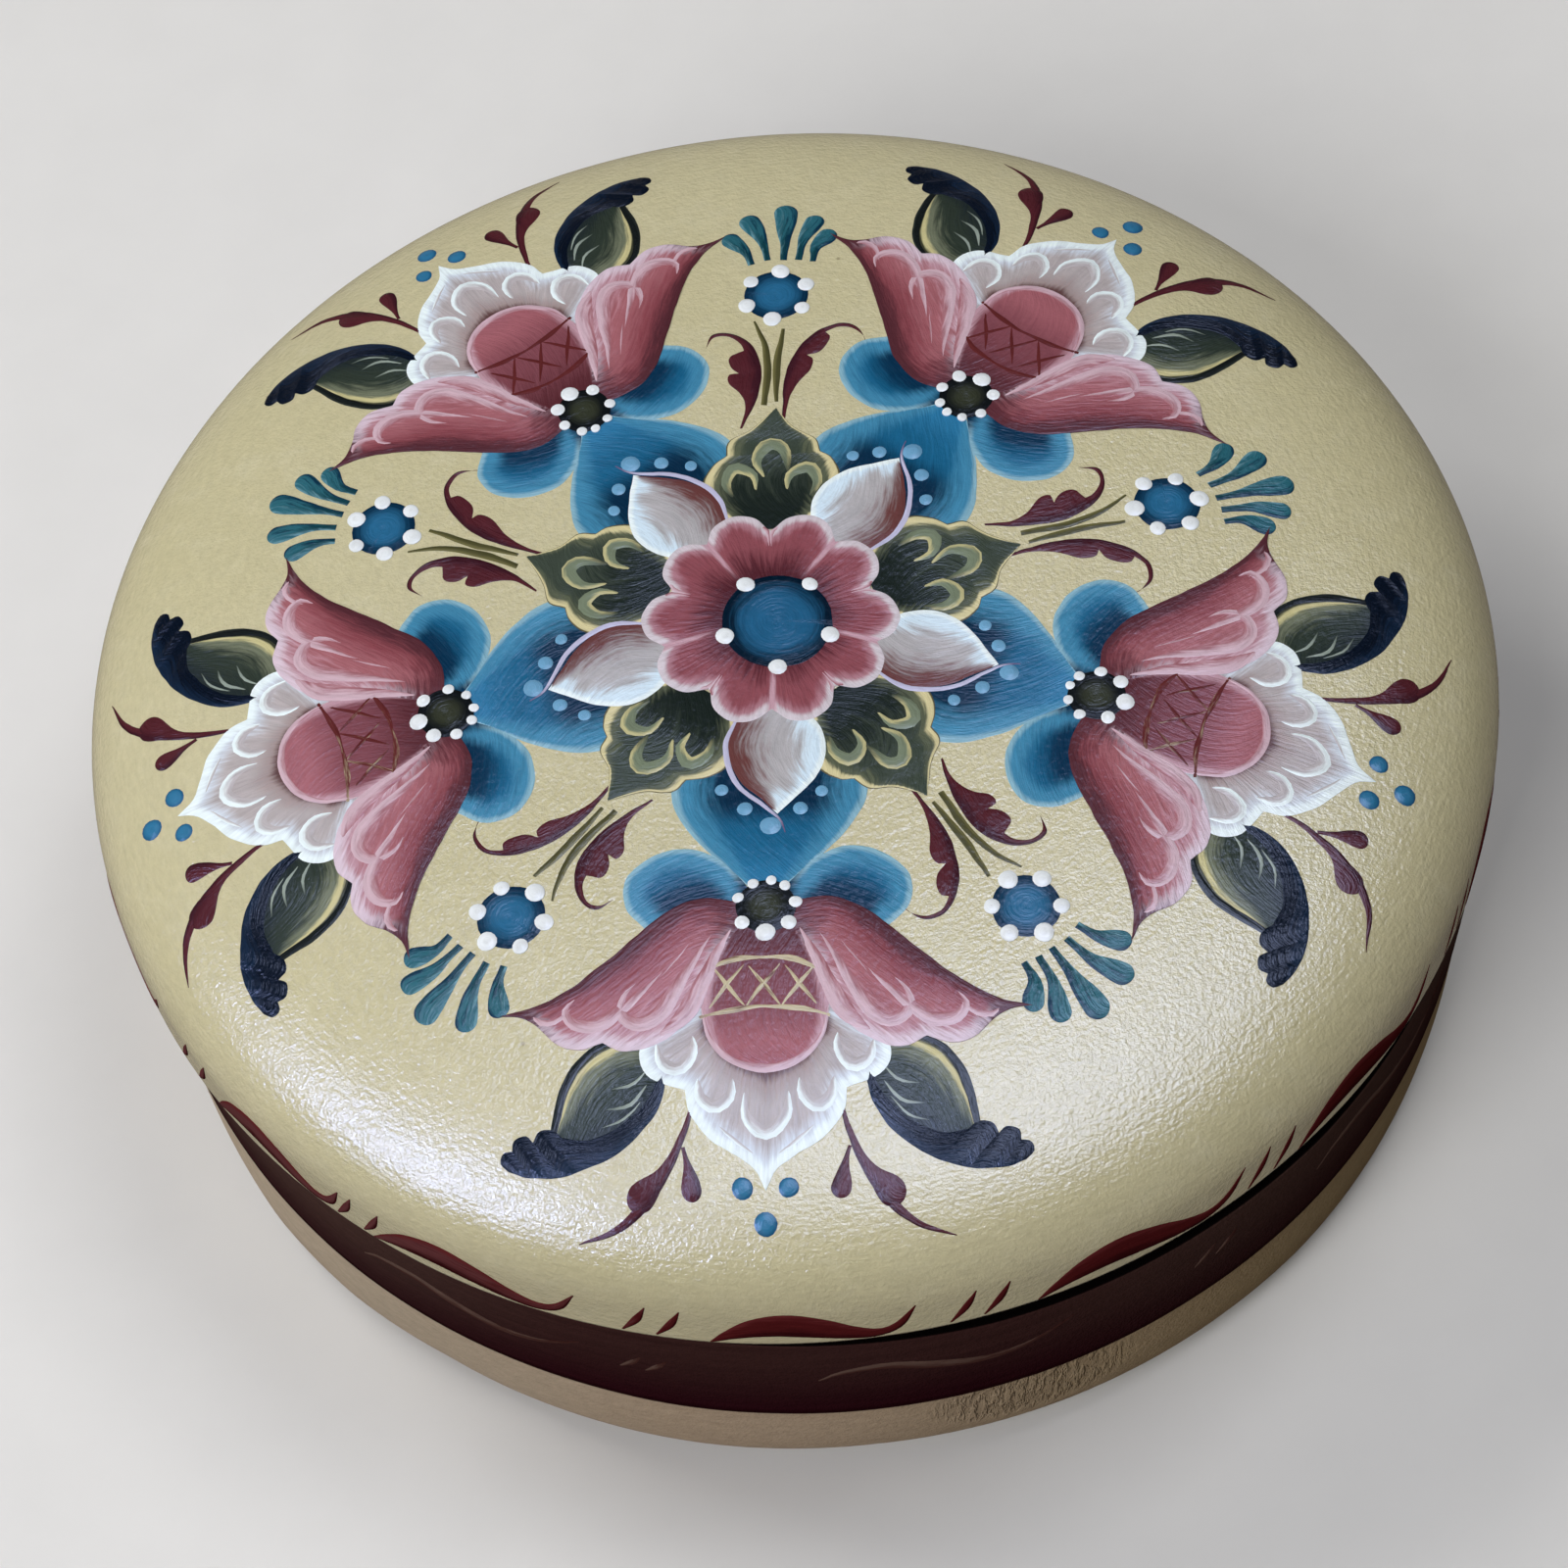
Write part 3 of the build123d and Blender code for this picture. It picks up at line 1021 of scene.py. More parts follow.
# %% [markdown]
# Every painted piece is then laid in the same few steps, so they go in one helper: run the right
# tree on the flat films, say what carries the piece, and print its volume, which is positive when
# the films are right side out.

# %% Laying a piece
pattern_middle = Vector((-1.41, -1.65, 0)) * MM
hand_waver = 1.8 * MM
hand_tremble = 0.45 * MM
laid_pieces = []


def lay(name, painting, paint, tree, body, surface, sizes, turned_by=0.0):
    """Lays the films on a body's surface with a tree that takes these sizes."""
    values = {"Surface": surface, "Paint": paint, **sizes}
    piece = grown(name, painting.mesh(name + "_flat", turned_by), tree, values)
    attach(piece, body)
    laid_pieces.append(piece)
    faces, space = len(piece.data.polygons), round(volume_of(piece))
    print(name, painting.films, "films", faces, "faces", space, "mm3")


def lay_on_lid(name, painting, paint, times=5, turned_by=0.0):
    """Repeats the films round the pattern and lays them on the lid."""
    lay(name, painting, paint, round_pattern, "lid", lid, {
        "Times": times, "Middle": pattern_middle, "Waver": hand_waver, "Tremble": hand_tremble}, turned_by)


def lay_on_wall(name, painting, paint, body, surface, start):
    """Lays a border round a wall, starting at degrees from the front towards the right."""
    lay(name, painting, paint, round_wall, body, surface, {
        "Start Angle": radians(start - 90), "Radius": outer_radius * MM})


# %% [markdown]
# ## Blue lobes and hearts
#
# Behind each tulip sits a blue heart with a lobe on either side. They go down first, because the
# petals, leaves and dots overlap them. The blue is darkest where the petals will throw their shade
# and ends in a pale blue rim.

# %% Blue lobes and hearts
NAVY = (6, 48, 78)
BLUE = (26, 100, 142)
SKY = (66, 136, 174)
PALE_BLUE = (136, 180, 200)

lobes = Painting()
lobe_root = [(2.8, -46.6), (6.0, -47.2), (9.0, -48.0), (12.0, -49.0), (14.4, -50.4)]
lobe_rim = [(2.4, -43.9), (5.4, -40.1), (10.0, -37.7), (15.1, -38.4), (18.8, -41.8), (18.9, -46.4),
            (15.5, -50.2)]
lobes.film(drawn([lobe_root], 48), drawn([lobe_rim], 48), layer=1, rows=16)
lobes.mirror()
blue_lobe_paint = oil_paint("blue_lobe_paint", BLUE, [
    ("across", 0.70, 0.32, NAVY),
    ("edge", 4.2, 1.6, SKY),
    ("edge", 1.1, 0.3, PALE_BLUE),
    ("along", 0.16, 0.02, NAVY),
], raggedness=0.5, ridges=0.6)
lay_on_lid("blue_lobes", lobes, blue_lobe_paint)

hearts = Painting()
heart_side = [(-9.4, -20.0), (-12.8, -25.0), (-13.0, -30.2), (-10.2, -35.4), (-5.9, -40.2),
              (-2.6, -43.5), (-0.6, -45.6)]
hearts.film(drawn([heart_side], 40), drawn([flipped(heart_side, -1)], 40), layer=1, rows=28)
heart_paint = oil_paint("heart_paint", BLUE, [
    ("along", 0.58, 0.84, (44, 120, 166)),
    ("along", 0.54, 0.36, (4, 42, 70)),
    ("across", 0.28, 0.08, SKY),
    ("across", 0.72, 0.92, SKY),
    ("across", 0.06, 0.015, PALE_BLUE),
    ("across", 0.94, 0.985, PALE_BLUE),
    ("along", 0.93, 1.0, NAVY),
], raggedness=0.45, ridges=0.6)
lay_on_lid("blue_hearts", hearts, heart_paint)

# %% [markdown]
# ## Lace petals, bulbs and side petals
#
# Each tulip is painted from the back forwards: the white lace petal that peeps out at its end, the
# round bulb over it, then the two swept side petals, dark along their outer edge and pale pink
# along the scalloped one.

# %% Lace petals
WHITE = (238, 250, 255)
lace = Painting()
lace_left = [[(-10.6, -61.6), (-14.6, -64.2), (-16.4, -67.6), (-15.0, -71.0), (-10.4, -73.0)],
             [(-10.4, -73.0), (-9.8, -76.2), (-7.2, -79.6), (-3.8, -81.8), (-1.3, -83.6), (0.0, -86.2)]]
lace_right = [flipped(run, -1)[::-1] for run in lace_left[::-1]]
bulb_back = [(-6.6, -59.0), (-6.4, -64.6), (-3.6, -67.8), (0.0, -68.8), (3.6, -67.8), (6.4, -64.6),
             (6.6, -59.0)]
lace.film(drawn([bulb_back], 90), drawn(lace_left + lace_right, 90), layer=2, rows=20, crosswise=True)
lace_paint = oil_paint("lace_paint", (186, 177, 180), [
    ("across", 0.46, 0.20, (166, 149, 149)),
    ("across", 0.25, 0.14, (96, 66, 66)),
    ("edge", 3.8, 1.0, (214, 224, 238)),
    ("edge", 1.8, 0.7, WHITE),
], raggedness=0.6)
lay_on_lid("lace_petals", lace, lace_paint)

# %% [markdown]
# The highlights are C strokes: a flat brush loaded with white on one side only leaves a crisp outer
# edge and fades inwards. The lines turn left all the way, so that side is always the near one.

# %% White curls on the lace
curls = Painting()
curl_press = (0.3, 1.5, 2.1, 1.6, 0.3)
curls.strokes(
    2.6,
    ([(9.4, -65.2), (9.4, -68.0), (11.2, -70.0), (13.4, -69.0), (14.2, -66.0)], curl_press),
    ([(4.2, -71.4), (4.6, -74.0), (6.6, -75.4), (8.4, -74.0), (8.8, -71.2)], curl_press),
    ([(1.2, -81.8), (3.6, -80.2), (6.4, -77.6)], (0.2, 0.7, 0.2)))
curls.mirror()
curls.strokes(2.6, ([(-2.8, -73.2), (-2.5, -76.8), (0.0, -79.0), (2.5, -76.8), (2.8, -73.2)], curl_press))
curl_paint = oil_paint("curl_paint", (192, 185, 190), [("across", 0.7, 0.2, WHITE)], raggedness=0.7)
lay_on_lid("lace_curls", curls, curl_paint)

# %% Bulbs
ROSE = (168, 101, 111)
DARK_ROSE = (84, 42, 50)
PINK = (196, 156, 170)
LIGHT_PINK = (218, 198, 213)
bulbs = Painting()
bulb_side = [(-3.0, -47.6), (-6.0, -52.6), (-7.8, -57.4), (-8.3, -62.4), (-7.0, -66.8), (-4.0, -69.7),
             (0, -70.8)]
bulbs.film(drawn([bulb_side], 44), drawn([flipped(bulb_side, -1)], 44), layer=3, swell=0.07, rows=22)
bulb_paint = oil_paint("bulb_paint", ROSE, [
    ("along", 0.74, 0.48, (128, 72, 82)),
    ("along", 0.46, 0.10, (88, 42, 49)),
    ("along", 0.84, 0.98, PINK),
    ("across", 0.12, 0.03, PINK),
    ("across", 0.88, 0.97, PINK),
], raggedness=0.6, ridges=0.6)
lay_on_lid("tulip_bulbs", bulbs, bulb_paint)

# %% Side petals
petals = Painting()
dark_edge = [(3.8, -46.0), (8.3, -45.4), (12.9, -47.1), (17.2, -50.7), (21.4, -54.5), (26.0, -58.1),
             (30.5, -60.5), (35.2, -61.6)]
inner = [(3.2, -49.4), (5.6, -53.6), (7.4, -57.8), (9.0, -61.6), (11.8, -65.0), (15.4, -66.9),
         (18.6, -67.2), (21.2, -65.8)]
fringe = [(21.2, -65.8), (24.4, -66.8), (27.6, -65.8), (30.0, -63.4), (32.2, -62.0), (35.0, -61.6)]
petals.film(drawn([dark_edge], 76), drawn([inner, fringe], 76), layer=4, swell=0.08, rows=20)
petals.mirror()
petal_paint = oil_paint("petal_paint", (170, 104, 113), [
    ("across", 0.54, 0.20, (136, 70, 79)),
    ("across", 0.26, 0.06, DARK_ROSE),
    ("across", 0.55, 0.94, PINK),
    ("edge", 2.2, 0.6, LIGHT_PINK),
    ("along", 0.22, 0.0, (92, 46, 54)),
    ("along", 0.76, 0.92, DARK_ROSE),
], raggedness=0.9, ridges=0.6)
lay_on_lid("side_petals", petals, petal_paint)

# %% [markdown]
# On the petals the same one-sided strokes in pale pink run down from the throat and hook round,
# which shows the lobes of the petal inside its outline. One more goes round the bulb's end.

# %% Pink commas
commas = Painting()
commas.strokes(
    5,
    ([(4.2, -49.6), (6.6, -54.0), (8.6, -58.6), (10.8, -62.6), (14.0, -65.4)], (0.4, 1.5, 2.4, 2.8, 0.6)),
    ([(6.4, -49.8), (9.2, -54.4), (11.6, -58.8), (13.8, -62.2), (16.4, -63.6), (18.7, -62.2),
      (18.6, -59.4), (16.4, -57.0)], (0.2, 1.1, 1.8, 2.5, 2.8, 2.4, 1.4, 0.3)),
    ([(12.0, -54.4), (15.2, -58.0), (18.8, -61.4), (21.8, -63.4), (24.9, -63.3), (26.4, -61.3),
      (24.8, -59.2)], (0.1, 0.8, 1.5, 2.3, 2.6, 1.8, 0.3)),
    ([(25.0, -60.4), (27.4, -62.6), (29.6, -62.8), (31.0, -61.6)], (0.1, 1.1, 1.3, 0.3)),
    ([(8.8, -50.6), (11.8, -54.6), (14.6, -58.2)], (0.2, 0.8, 0.2)))
commas.mirror()
commas.strokes(3.6, (
    [(-8.2, -61.6), (-7.0, -66.2), (-4.0, -69.2), (0.0, -70.3), (4.0, -69.2), (7.0, -66.2), (8.2, -61.6)],
    (0.3, 0.8, 1.2, 1.4, 1.2, 0.8, 0.3)))
comma_paint = oil_paint("comma_paint", (168, 106, 116), [
    ("across", 0.95, 0.30, (208, 178, 191)),
], raggedness=0.8)
lay_on_lid("pink_commas", commas, comma_paint)

# %% [markdown]
# A little lattice of dark red lines crosses each bulb, and the gold that was drawn over them is left
# mostly towards the front. A liner brush made them, so the lines are thin and not quite even.

# %% Lattice on the bulbs
lattice = Painting()
rail_press, cross_press = (0.4, 1.2, 0.8, 1.2, 0.4), (0.4, 0.95, 0.5)
lattice.strokes(
    4,
    ([(-8.0, -56.0), (-4.0, -54.6), (0.0, -54.3), (4.0, -54.8), (7.8, -56.6)], rail_press),
    ([(-8.6, -62.9), (-4.6, -62.0), (0.0, -61.6), (4.6, -62.0), (8.4, -63.0)], rail_press))
for crossing in range(3):
    left = -7.2 + crossing * 4.7
    lattice.strokes(
        4,
        ([(left, -55.0), (left + 2.4, -58.4), (left + 4.8, -61.9)], cross_press),
        ([(left + 4.9, -54.8), (left + 2.2, -58.4), (left - 0.4, -62.0)], cross_press))
lattice_paint = oil_paint("lattice_paint", (98, 40, 40), [
    ("along", -2.2, 0.9, (198, 186, 154), ("front", 17.0, 56.0)),
], raggedness=1.3)
lay_on_lid("bulb_lattice", lattice, lattice_paint)

# %% [markdown]
# ## Leaves beside the tulips
#
# A dark leaf comes out from under each side of the lace. Its upper edge catches the light in creamy
# yellow, and its lower edge is one heavy blue-black stroke that ends in a knobbly tip.

# %% Dark leaves
leaves = Painting()
leaf_upper = [(12.6, -69.0), (15.0, -66.4), (18.8, -65.8), (22.8, -67.6), (25.6, -71.8), (27.3, -78.6)]
leaf_lower = [(12.6, -69.0), (13.8, -73.6), (16.8, -77.4), (20.2, -79.6), (23.8, -80.2), (27.3, -78.6)]
leaves.film(drawn([leaf_upper], 40), drawn([leaf_lower], 40), layer=0.5, rows=18)
leaves.mirror()
leaf_paint = oil_paint("leaf_paint", (50, 60, 52), [
    ("across", 0.42, 0.16, (112, 118, 98)),
    ("across", 0.15, 0.09, (204, 196, 146)),
    ("across", 0.055, 0.02, (60, 62, 46)),
    ("across", 0.50, 0.90, (34, 43, 45)),
    ("along", 0.10, 0.0, (22, 28, 28)),
], raggedness=0.9, ridges=0.7)
lay_on_lid("dark_leaves", leaves, leaf_paint)

leaf_edges = Painting()
tip_upper = [[(13.4, -69.4), (15.2, -73.8), (18.6, -77.2), (22.8, -78.9), (26.4, -78.4)],
             [(26.4, -78.4), (27.6, -77.4), (29.4, -77.5), (30.2, -78.9)],
             [(30.2, -78.9), (31.2, -77.9), (32.8, -78.4), (33.0, -79.7)],
             [(33.0, -79.7), (34.2, -79.8), (34.6, -80.9), (33.6, -82.0)]]
tip_lower = [(12.7, -69.8), (13.7, -75.0), (16.8, -79.2), (21.0, -81.9), (26.2, -83.3), (30.6, -83.1),
             (33.6, -82.0)]
leaf_edges.film(drawn(tip_upper, 68), drawn([tip_lower], 68), layer=1.1, swell=0.09, rows=9)
leaf_edges.mirror()
leaf_edge_paint = oil_paint("leaf_edge_paint", (10, 20, 36), [
    ("across", 0.5, 1.0, (20, 38, 62)),
], raggedness=0.8, gloss=(0.14, 0.24), ridges=0.9)
lay_on_lid("leaf_edges", leaf_edges, leaf_edge_paint)

leaf_outlines = Painting()
leaf_outlines.strokes(1.1, (
    [(13.4, -68.2), (15.2, -66.0), (18.9, -65.4), (23.1, -67.3), (26.0, -71.6), (27.6, -78.2)],
    (0.3, 0.7, 0.8, 1.1, 1.2, 0.9)))
leaf_outlines.mirror()
outline_paint = oil_paint("leaf_outline_paint", (24, 29, 29), [("across", 0.6, 1.0, (40, 46, 44))])
lay_on_lid("leaf_outlines", leaf_outlines, outline_paint)

leaf_veins = Painting()
leaf_veins.strokes(
    1.1,
    ([(15.0, -69.6), (17.2, -71.8), (20.6, -72.4)], (0.2, 0.6, 0.15)),
    ([(15.0, -71.6), (17.6, -74.6), (21.2, -75.2)], (0.2, 0.7, 0.15)),
    ([(15.8, -73.8), (18.4, -76.6), (21.8, -77.6)], (0.2, 0.5, 0.15)))
leaf_veins.mirror()
vein_paint = oil_paint("vein_paint", (152, 164, 156), [
    ("along", 0.5, 1.0, (92, 102, 94)),
], raggedness=0.8)
lay_on_lid("leaf_veins", leaf_veins, vein_paint)

# %% [markdown]
# Below the leaves hang fine maroon sprigs: one long stroke that thins out to a hair, a large
# teardrop and a small one. Three blue dots finish the tulip.

# %% Maroon sprigs
MAROON = (84, 35, 43)
sprigs = Painting()
sprigs.stroke([(9.2, -73.6), (10.4, -78.2), (12.4, -82.8), (15.2, -87.0), (19.0, -89.9), (24.2, -91.0)],
              (0.3, 0.8, 1.3, 1.4, 0.8, 0.1), layer=1)
sprigs.teardrop([(12.0, -81.6), (13.9, -84.4), (15.9, -86.4)], 0.7, 1.9, layer=1)
sprigs.teardrop([(10.6, -80.6), (9.9, -83.4), (9.4, -86.0)], 0.5, 1.3, layer=1)
sprigs.mirror()
sprig_paint = oil_paint("sprig_paint", MAROON, [("across", 0.5, 0.1, (60, 24, 34))],
                        raggedness=0.7, ridges=0.7)
lay_on_lid("maroon_sprigs", sprigs, sprig_paint)

# %% Blue dots under the tulips
drops = Painting()
for x, y, radius in ((-3.0, -85.9, 1.4), (2.8, -85.9, 1.3), (-0.1, -90.2, 1.5)):
    drops.dot((x, y), radius, layer=1)
drop_paint = oil_paint("drop_paint", (50, 120, 162), [("across", 0.6, 1.0, (34, 92, 134))])
lay_on_lid("blue_dots", drops, drop_paint)

# %% [markdown]
# ## The flower in the middle
#
# Olive leaves and pale petals take turns round the rose. The pale petals are shaded brown along one
# side and white along the other, with a lavender line that runs past the tip. The rose has five
# petals with two lobes each, and its eye is a blue disc with five white dots.

# %% Pale petals
pale_petals = Painting()
brown_side = [(-2.6, -14.0), (-5.2, -18.4), (-5.8, -22.4), (-4.0, -26.8), (-1.3, -29.8), (1.2, -32.4)]
white_side = [(2.6, -14.0), (6.4, -18.2), (7.5, -22.4), (6.2, -26.4), (3.7, -29.6), (1.2, -32.4)]
pale_petals.film(drawn([brown_side], 36), drawn([white_side], 36), layer=3, swell=0.07, rows=16)
SNOW = (214, 234, 250)
pale_paint = oil_paint("pale_paint", (184, 181, 186), [
    ("across", 0.48, 0.06, (104, 60, 58)),
    ("across", 0.62, 0.88, SNOW),
    ("along", 0.70, 0.88, SNOW, ("across", 0.25, 0.5)),
    ("edge", 1.1, 0.4, WHITE),
], raggedness=0.8, ridges=0.6)
lay_on_lid("pale_petals", pale_petals, pale_paint)

lilac = Painting()
lilac.strokes(4, (
    [(-4.6, -16.6), (-6.0, -20.4), (-5.8, -24.0), (-3.8, -28.2), (-0.6, -31.2), (1.4, -33.2),
     (2.2, -35.4)], (0.3, 0.7, 0.8, 0.7, 0.6, 0.4, 0.1)))
lilac_paint = oil_paint("lilac_paint", (196, 194, 224), [("along", 0.80, 0.98, (112, 96, 132))])
lay_on_lid("lilac_lines", lilac, lilac_paint)

# %% Olive leaves
olive_leaves = Painting()
olive_left = [[(-4.0, 15.0), (-8.6, 19.6), (-9.8, 23.4), (-8.6, 26.4), (-6.6, 28.2)],
              [(-6.6, 28.2), (-6.2, 30.8), (-3.0, 33.0), (0.3, 36.8)]]
olive_right = [[(4.0, 15.0), (8.4, 20.0), (9.6, 24.2), (8.4, 27.4), (6.8, 28.6)],
               [(6.8, 28.6), (6.0, 31.0), (3.0, 33.0), (0.3, 36.8)]]
olive_leaves.film(drawn(olive_left, 50), drawn(olive_right, 50), layer=2, rows=24)
olive_paint = oil_paint("olive_paint", (64, 74, 64), [
    ("along", 0.66, 0.20, (26, 35, 31)),
    ("across", 0.24, 0.08, (92, 98, 78)),
    ("across", 0.76, 0.92, (92, 98, 78)),
    ("across", 0.10, 0.055, (216, 206, 160)),
    ("across", 0.90, 0.945, (216, 206, 160)),
    ("across", 0.02, 0.01, (90, 84, 56)),
    ("across", 0.98, 0.99, (90, 84, 56)),
], raggedness=0.9, ridges=0.6)
lay_on_lid("olive_leaves", olive_leaves, olive_paint)

horseshoes = Painting()
horseshoes.strokes(3, (
    [(-1.0, 24.0), (-2.2, 27.2), (-0.6, 30.0), (1.6, 29.0), (2.3, 25.0)], (0.3, 1.4, 2.2, 1.6, 0.4)))
for side in (1, -1):
    horseshoes.strokes(3, (
        flipped([(2.2, 21.8), (2.6, 24.6), (5.2, 25.8), (6.4, 23.4), (5.4, 20.6)], side),
        (0.3, 1.3, 2.1, 1.5, 0.4)))
horseshoe_paint = oil_paint("horseshoe_paint", (122, 134, 112), [
    ("edge", 0.8, 0.25, (190, 184, 138)),
    ("along", 0.7, 1.0, (66, 74, 62)),
], raggedness=1.0)
lay_on_lid("olive_horseshoes", horseshoes, horseshoe_paint)

# %% Rose
rose = Painting()
notch_radius, boundary_radius, eye_radius = 14.6, 15.4, 6.2
fifth_turn = 72.0


def polar(radius, degrees):
    """A place by its distance from the middle and its direction in degrees from +X."""
    return radius * cos(radians(degrees)), radius * sin(radians(degrees))


boundary = -90.0
first_lobe = [(boundary_radius, 0), (17.4, 8), (18.0, 18), (17.0, 28), (notch_radius, 35.4)]
second_lobe = [(radius, fifth_turn - degrees) for radius, degrees in first_lobe[::-1]]
lobe_runs = [[polar(radius, boundary + degrees) for radius, degrees in lobe]
             for lobe in (first_lobe, second_lobe)]
rose.film(ring((0, 0), eye_radius, boundary, boundary + fifth_turn, 60), drawn(lobe_runs, 60), layer=5,
          swell=0.06, rows=16, crosswise=True)
rose_paint = oil_paint("rose_petal_paint", (146, 80, 90), [
    ("across", 0.62, 0.05, (80, 33, 42)),
    ("edge", 2.8, 1.3, (174, 124, 137)),
    ("edge", 1.5, 0.6, (210, 200, 209)),
    ("along", 0.045, 0.012, PINK, ("across", 0.1, 0.6)),
    ("along", 0.955, 0.988, PINK, ("across", 0.1, 0.6)),
], raggedness=0.8, ridges=0.6)
lay_on_lid("rose_petals", rose, rose_paint)

rose_lines = Painting()
notch_places = ((15.2, 4), (14.2, 1.2), (11.2, 0.8))
for side in (-1.0, 1.0):
    notch = [polar(radius, boundary + fifth_turn / 2 + side * off) for radius, off in notch_places]
    rose_lines.stroke(notch, (0.5, 0.6, 0.1), layer=6)
lay_on_lid("rose_notches", rose_lines, comma_paint)

# %% Eyes and throats
eye = Painting()
eye_middle = (0.9, -1.0)
eye.disc(eye_middle, 7.8, layer=6, swell=0.08, rows=14, around=48)
eye_paint = oil_paint("eye_paint", (34, 96, 138), [
    ("across", 0.5, 0.92, (0, 23, 42)),
], raggedness=0.7)
lay_on_lid("rose_eye", eye, eye_paint, times=1)

throats = Painting()
throat_middle = (0.0, -46.8)
throats.disc(throat_middle, 3.9, layer=6, swell=0.06, rows=9, around=28)
throat_paint = oil_paint("throat_paint", (54, 58, 44), [("across", 0.25, 0.8, (14, 18, 20))])
lay_on_lid("tulip_throats", throats, throat_paint)

# %% White dots
def dots_round(middle, distance, dots, layer):
    """Dots round a middle; dots gives each one's direction and radius."""
    films = Painting()
    for degrees, radius in dots:
        x, y = polar(distance, degrees)
        films.dot((middle[0] + x, middle[1] + y), radius, layer)
    return films


white_dot_paint = oil_paint("white_dot_paint", (238, 243, 248), ridges=0.1)
throat_dots = dots_round(throat_middle, 3.85, (
    (-90, 1.30), (-40, 1.05), (8, 0.85), (52, 0.75), (82, 0.70), (118, 0.72), (160, 0.80), (218, 0.98),
), layer=7)
lay_on_lid("throat_dots", throat_dots, white_dot_paint)
eye_dots = dots_round(eye_middle, 7.6, [
    (-91 + fifth_turn * k, 1.3 + 0.1 * sin(k * 2.3)) for k in range(5)], layer=7)
lay_on_lid("eye_dots", eye_dots, white_dot_paint, times=1)

heart_dots = Painting()
for x, y, radius in ((0.3, -34.3, 1.4), (-3.2, -31.5, 1.05), (4.2, -31.6, 1.0), (-6.3, -28.4, 0.9),
                     (7.0, -28.9, 0.9)):
    heart_dots.dot((x, y), radius, layer=3)
heart_dot_paint = oil_paint("heart_dot_paint", (112, 166, 204))
lay_on_lid("heart_dots", heart_dots, heart_dot_paint)

# %% [markdown]
# ## Between the tulips
#
# From the tip of every olive leaf two thin stems run out to a small blue flower, with maroon
# scrolls on either side of them and a fan of five blue teardrops beyond. This fifth of the pattern is
# drawn pointing down the page like the tulip, and then turned by half a fifth.

# %% Stems, scrolls and small flowers
between = fifth_turn / 2

stems = Painting()
stems.strokes(
    1,
    ([(-0.3, -38.0), (-0.4, -44.8), (-1.2, -51.8)], (0.5, 1.1, 0.5)),
    ([(1.5, -37.4), (0.9, -43.6), (1.4, -49.0), (3.1, -53.4)], (0.8, 1.1, 0.9, 0.3)))
stem_paint = oil_paint("stem_paint", (78, 76, 46), [("across", 0.4, 0.9, (108, 104, 64))])
lay_on_lid("olive_stems", stems, stem_paint, turned_by=between)

scrolls = Painting()
scroll_shapes = (
    (
        [(-1.2, -34.4), (-1.2, -38.0), (-1.3, -41.0), (-1.9, -44.4), (-3.6, -48.2), (-6.0, -51.0),
         (-9.2, -52.5), (-12.0, -51.6), (-13.1, -48.6)],
        [[(-1.6, -34.4), (-2.0, -38.2), (-3.3, -41.4), (-5.1, -43.8), (-5.5, -45.8), (-4.6, -46.7)],
         [(-4.6, -46.7), (-6.5, -47.3), (-7.8, -49.2), (-7.8, -50.4), (-6.7, -50.5)],
         [(-6.7, -50.5), (-9.0, -51.8), (-11.4, -51.4), (-12.8, -49.8), (-13.1, -48.6)]],
    ),
    (
        [(4.5, -33.2), (2.7, -37.8), (1.8, -42.6), (2.2, -46.6), (4.0, -49.8), (6.6, -51.4),
         (9.0, -51.2), (9.9, -48.6)],
        [[(4.8, -33.2), (4.0, -37.0), (4.9, -39.8), (6.4, -41.8), (6.4, -43.4), (4.9, -43.5)],
         [(4.9, -43.5), (6.2, -44.8), (6.5, -46.4), (5.7, -47.3), (4.2, -46.8)],
         [(4.2, -46.8), (4.9, -49.2), (6.8, -50.8), (8.8, -50.6), (9.9, -48.6)]],
    ),
)
for inner, lobed in scroll_shapes:
    scrolls.film(drawn([inner], 60), drawn(lobed, 60), layer=1, swell=0.08, rows=8)
lay_on_lid("maroon_scrolls", scrolls, sprig_paint, turned_by=between)

flower_middle = (0.0, -58.3)
flowers = Painting()
flowers.disc(flower_middle, 4.6, layer=1, swell=0.07, rows=10, around=32)
flower_paint = oil_paint("flower_paint", (40, 106, 149), [
    ("across", 0.35, 0.95, (6, 40, 66)),
], raggedness=0.5)
lay_on_lid("blue_flowers", flowers, flower_paint, turned_by=between)

flower_dots = dots_round(flower_middle, 4.6, [
    (24 + k * 60, 1.24 + 0.14 * sin(k * 2.1)) for k in range(6)], layer=3)
lay_on_lid("flower_dots", flower_dots, white_dot_paint, turned_by=between)

teardrops = Painting()
for root, bend, head, radius in (
    ((-5.2, -64.8), (-5.6, -67.6), (-7.4, -70.0), 1.45),
    ((-3.1, -65.2), (-3.8, -69.4), (-5.5, -73.2), 1.45),
    ((-1.0, -65.2), (-1.1, -70.2), (-1.2, -75.2), 1.75),
    ((1.4, -65.2), (2.2, -69.4), (4.2, -73.4), 1.55),
    ((3.7, -64.4), (4.7, -67.2), (6.8, -69.6), 1.45),
):
    teardrops.teardrop([root, bend, head], 1.0, radius, layer=1)
teardrop_paint = oil_paint("teardrop_paint", (46, 106, 122), [
    ("along", 0.60, 0.10, (16, 60, 70)),
    ("across", 0.45, 0.0, (12, 50, 74)),
    ("across", 0.7, 1.2, (98, 146, 160)),
], raggedness=2.0, ridges=0.9)
lay_on_lid("blue_teardrops", teardrops, teardrop_paint, turned_by=between)

